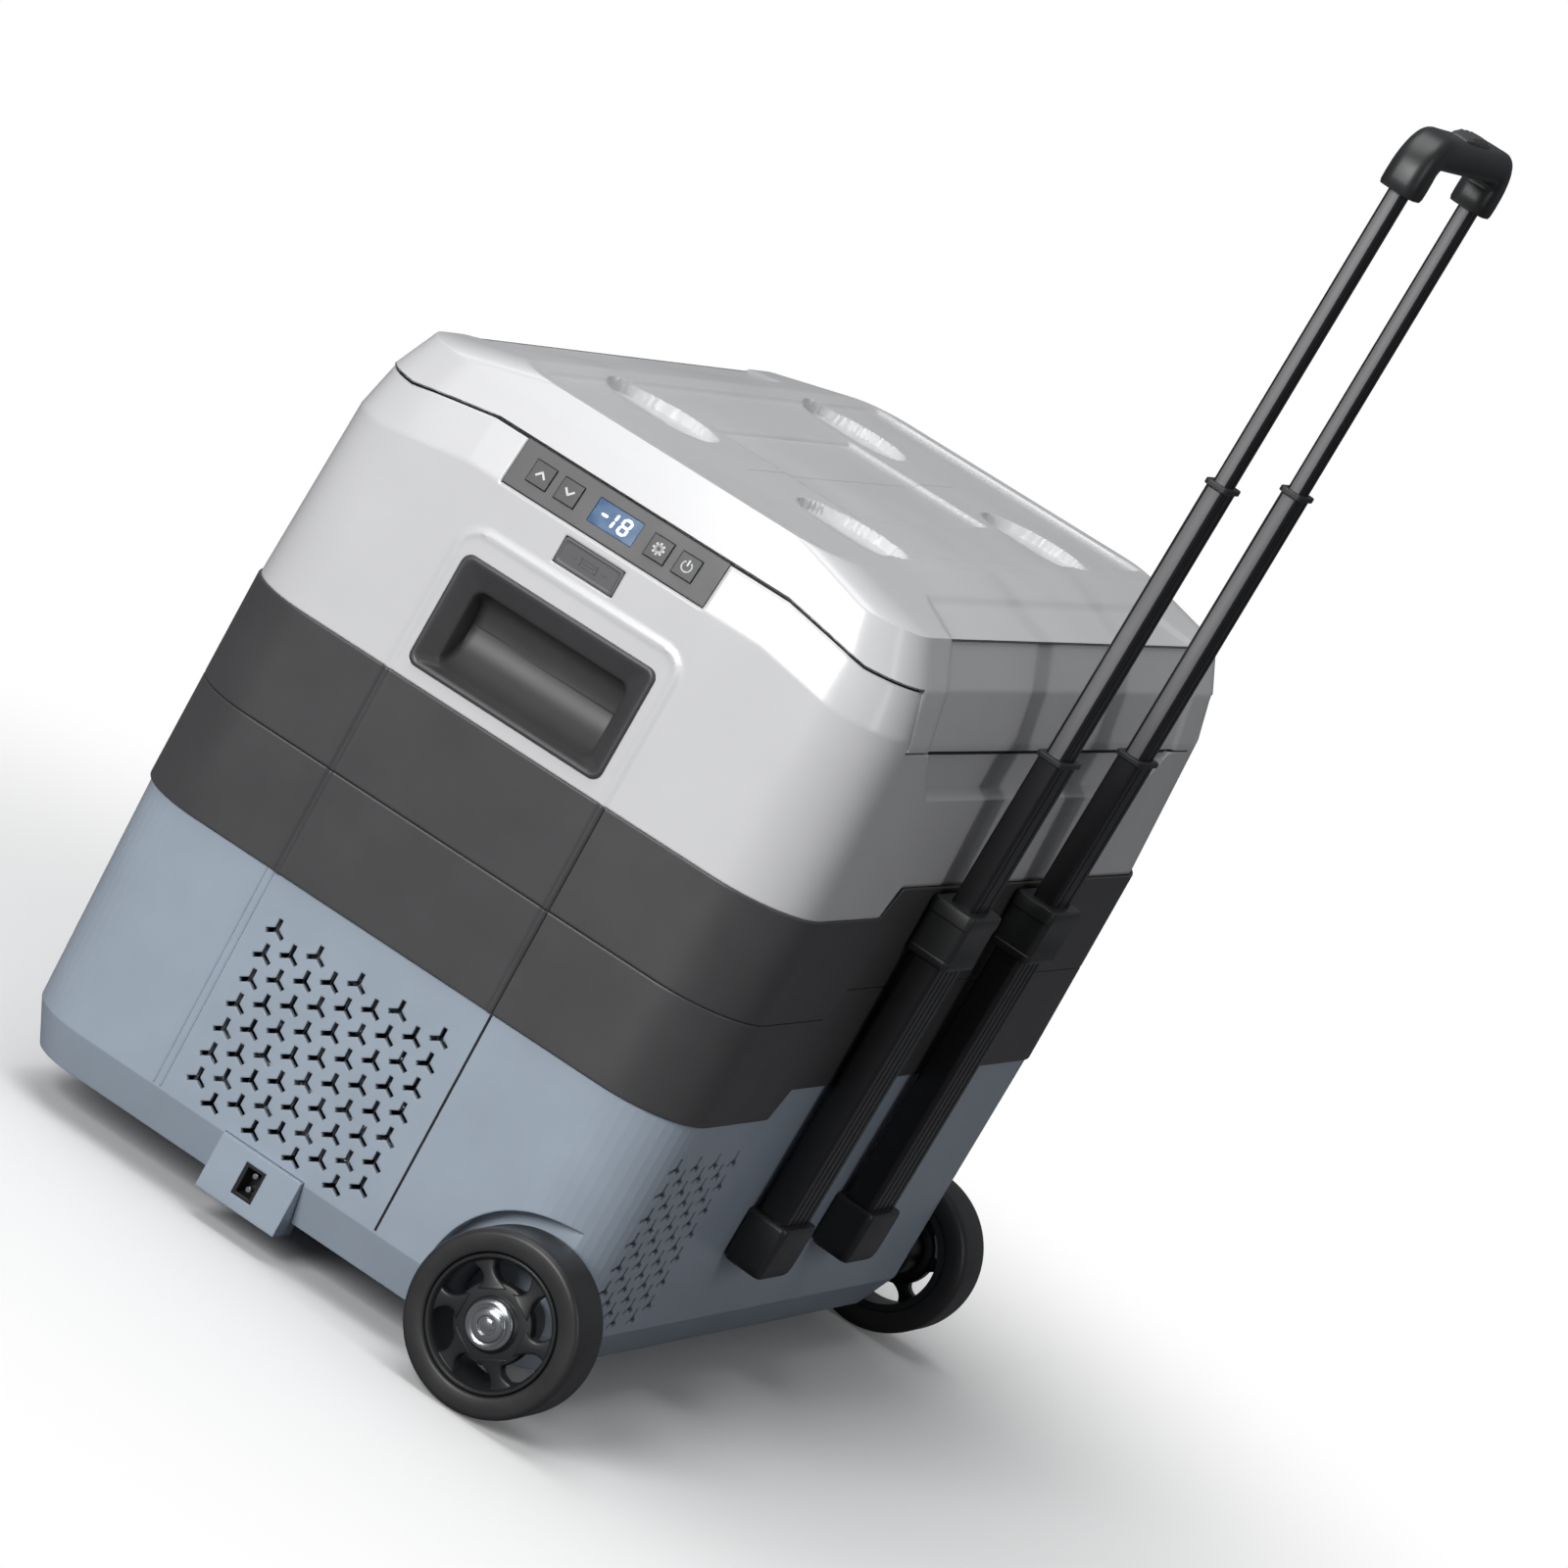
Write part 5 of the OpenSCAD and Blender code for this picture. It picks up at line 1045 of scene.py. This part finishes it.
def operator(idname, label, doc, *actions):
    """A Blender operator that runs the given builders in order."""
    def execute(self, context):
        for action in actions:
            action()
        return {"FINISHED"}
    return type("COOLER_OT_" + idname, (bpy.types.Operator,), {
        "bl_idname": "cooler." + idname, "bl_label": label, "__doc__": doc, "execute": execute})


OPERATORS = [
    operator("finishes", "Finishes", "Make all finishes and give them to the CAD nodes", make_materials,
             finish_cad_nodes),
    operator("bands", "Bands", "Build both stacking bands", build_bands),
    operator("housing", "Upper housing", "Build the upper housing and its trim lines", build_upper_housing,
             build_trim_lines),
    operator("lid", "Lid", "Build the lid's outside", build_lid),
    operator("handles", "Hand pockets", "Build both hand pockets",
             lambda: build_handle("handle_front_skin", -1, "handle_insert_front"),
             lambda: build_handle("handle_rear_skin", 1, "handle_insert_rear")),
    operator("panel", "Control panel", "Build icons, reading and USB flap", build_panel, build_usb_cover),
    operator("wheels", "Wheels", "Build both wheels and their hub caps",
             lambda: build_wheel("wheel_front", -1, "wheel_front", "tyre_front", "rim_front"),
             lambda: build_wheel("wheel_rear", 1, "wheel_rear", "tyre_rear", "rim_rear"), build_hub_caps),
    operator("trolley", "Trolley", "Build the telescopic handle", build_trolley),
    operator("stage", "Studio", "Build floor, world, lights and camera", build_floor, build_world, build_lights,
             build_camera),
]
GROUPS = {"cooler_shell": CoolerShell, "cooler_lid": CoolerLid, "cooler_running": CoolerRunning,
          "cooler_stage": CoolerStage}


class COOLER_PT_sidebar(bpy.types.Panel):
    """Lists the builders and their settings in the 3D view's sidebar."""

    bl_label = "Compressor cooler"
    bl_idname = "COOLER_PT_sidebar"
    bl_space_type = "VIEW_3D"
    bl_region_type = "UI"
    bl_category = "Cooler"

    def draw(self, context):
        for op in OPERATORS:
            self.layout.operator(op.bl_idname)
        for name, group in GROUPS.items():
            box = self.layout.box()
            for key in group.__annotations__:
                box.prop(getattr(context.scene, name), key)


def register():
    for group in GROUPS.values():
        bpy.utils.register_class(group)
    for name, group in GROUPS.items():
        setattr(bpy.types.Scene, name, PointerProperty(type=group))
    for op in OPERATORS:
        bpy.utils.register_class(op)
    bpy.utils.register_class(COOLER_PT_sidebar)


def unregister():
    bpy.utils.unregister_class(COOLER_PT_sidebar)
    for op in OPERATORS[::-1]:
        bpy.utils.unregister_class(op)
    for name, group in GROUPS.items():
        delattr(bpy.types.Scene, name)
        bpy.utils.unregister_class(group)


def main():
    register()
    for op in OPERATORS:
        group, name = op.bl_idname.split(".")
        if getattr(getattr(bpy.ops, group), name)() != {"FINISHED"}:
            raise RuntimeError("stopped in " + op.bl_idname)


if __name__ == "__main__":
    main()
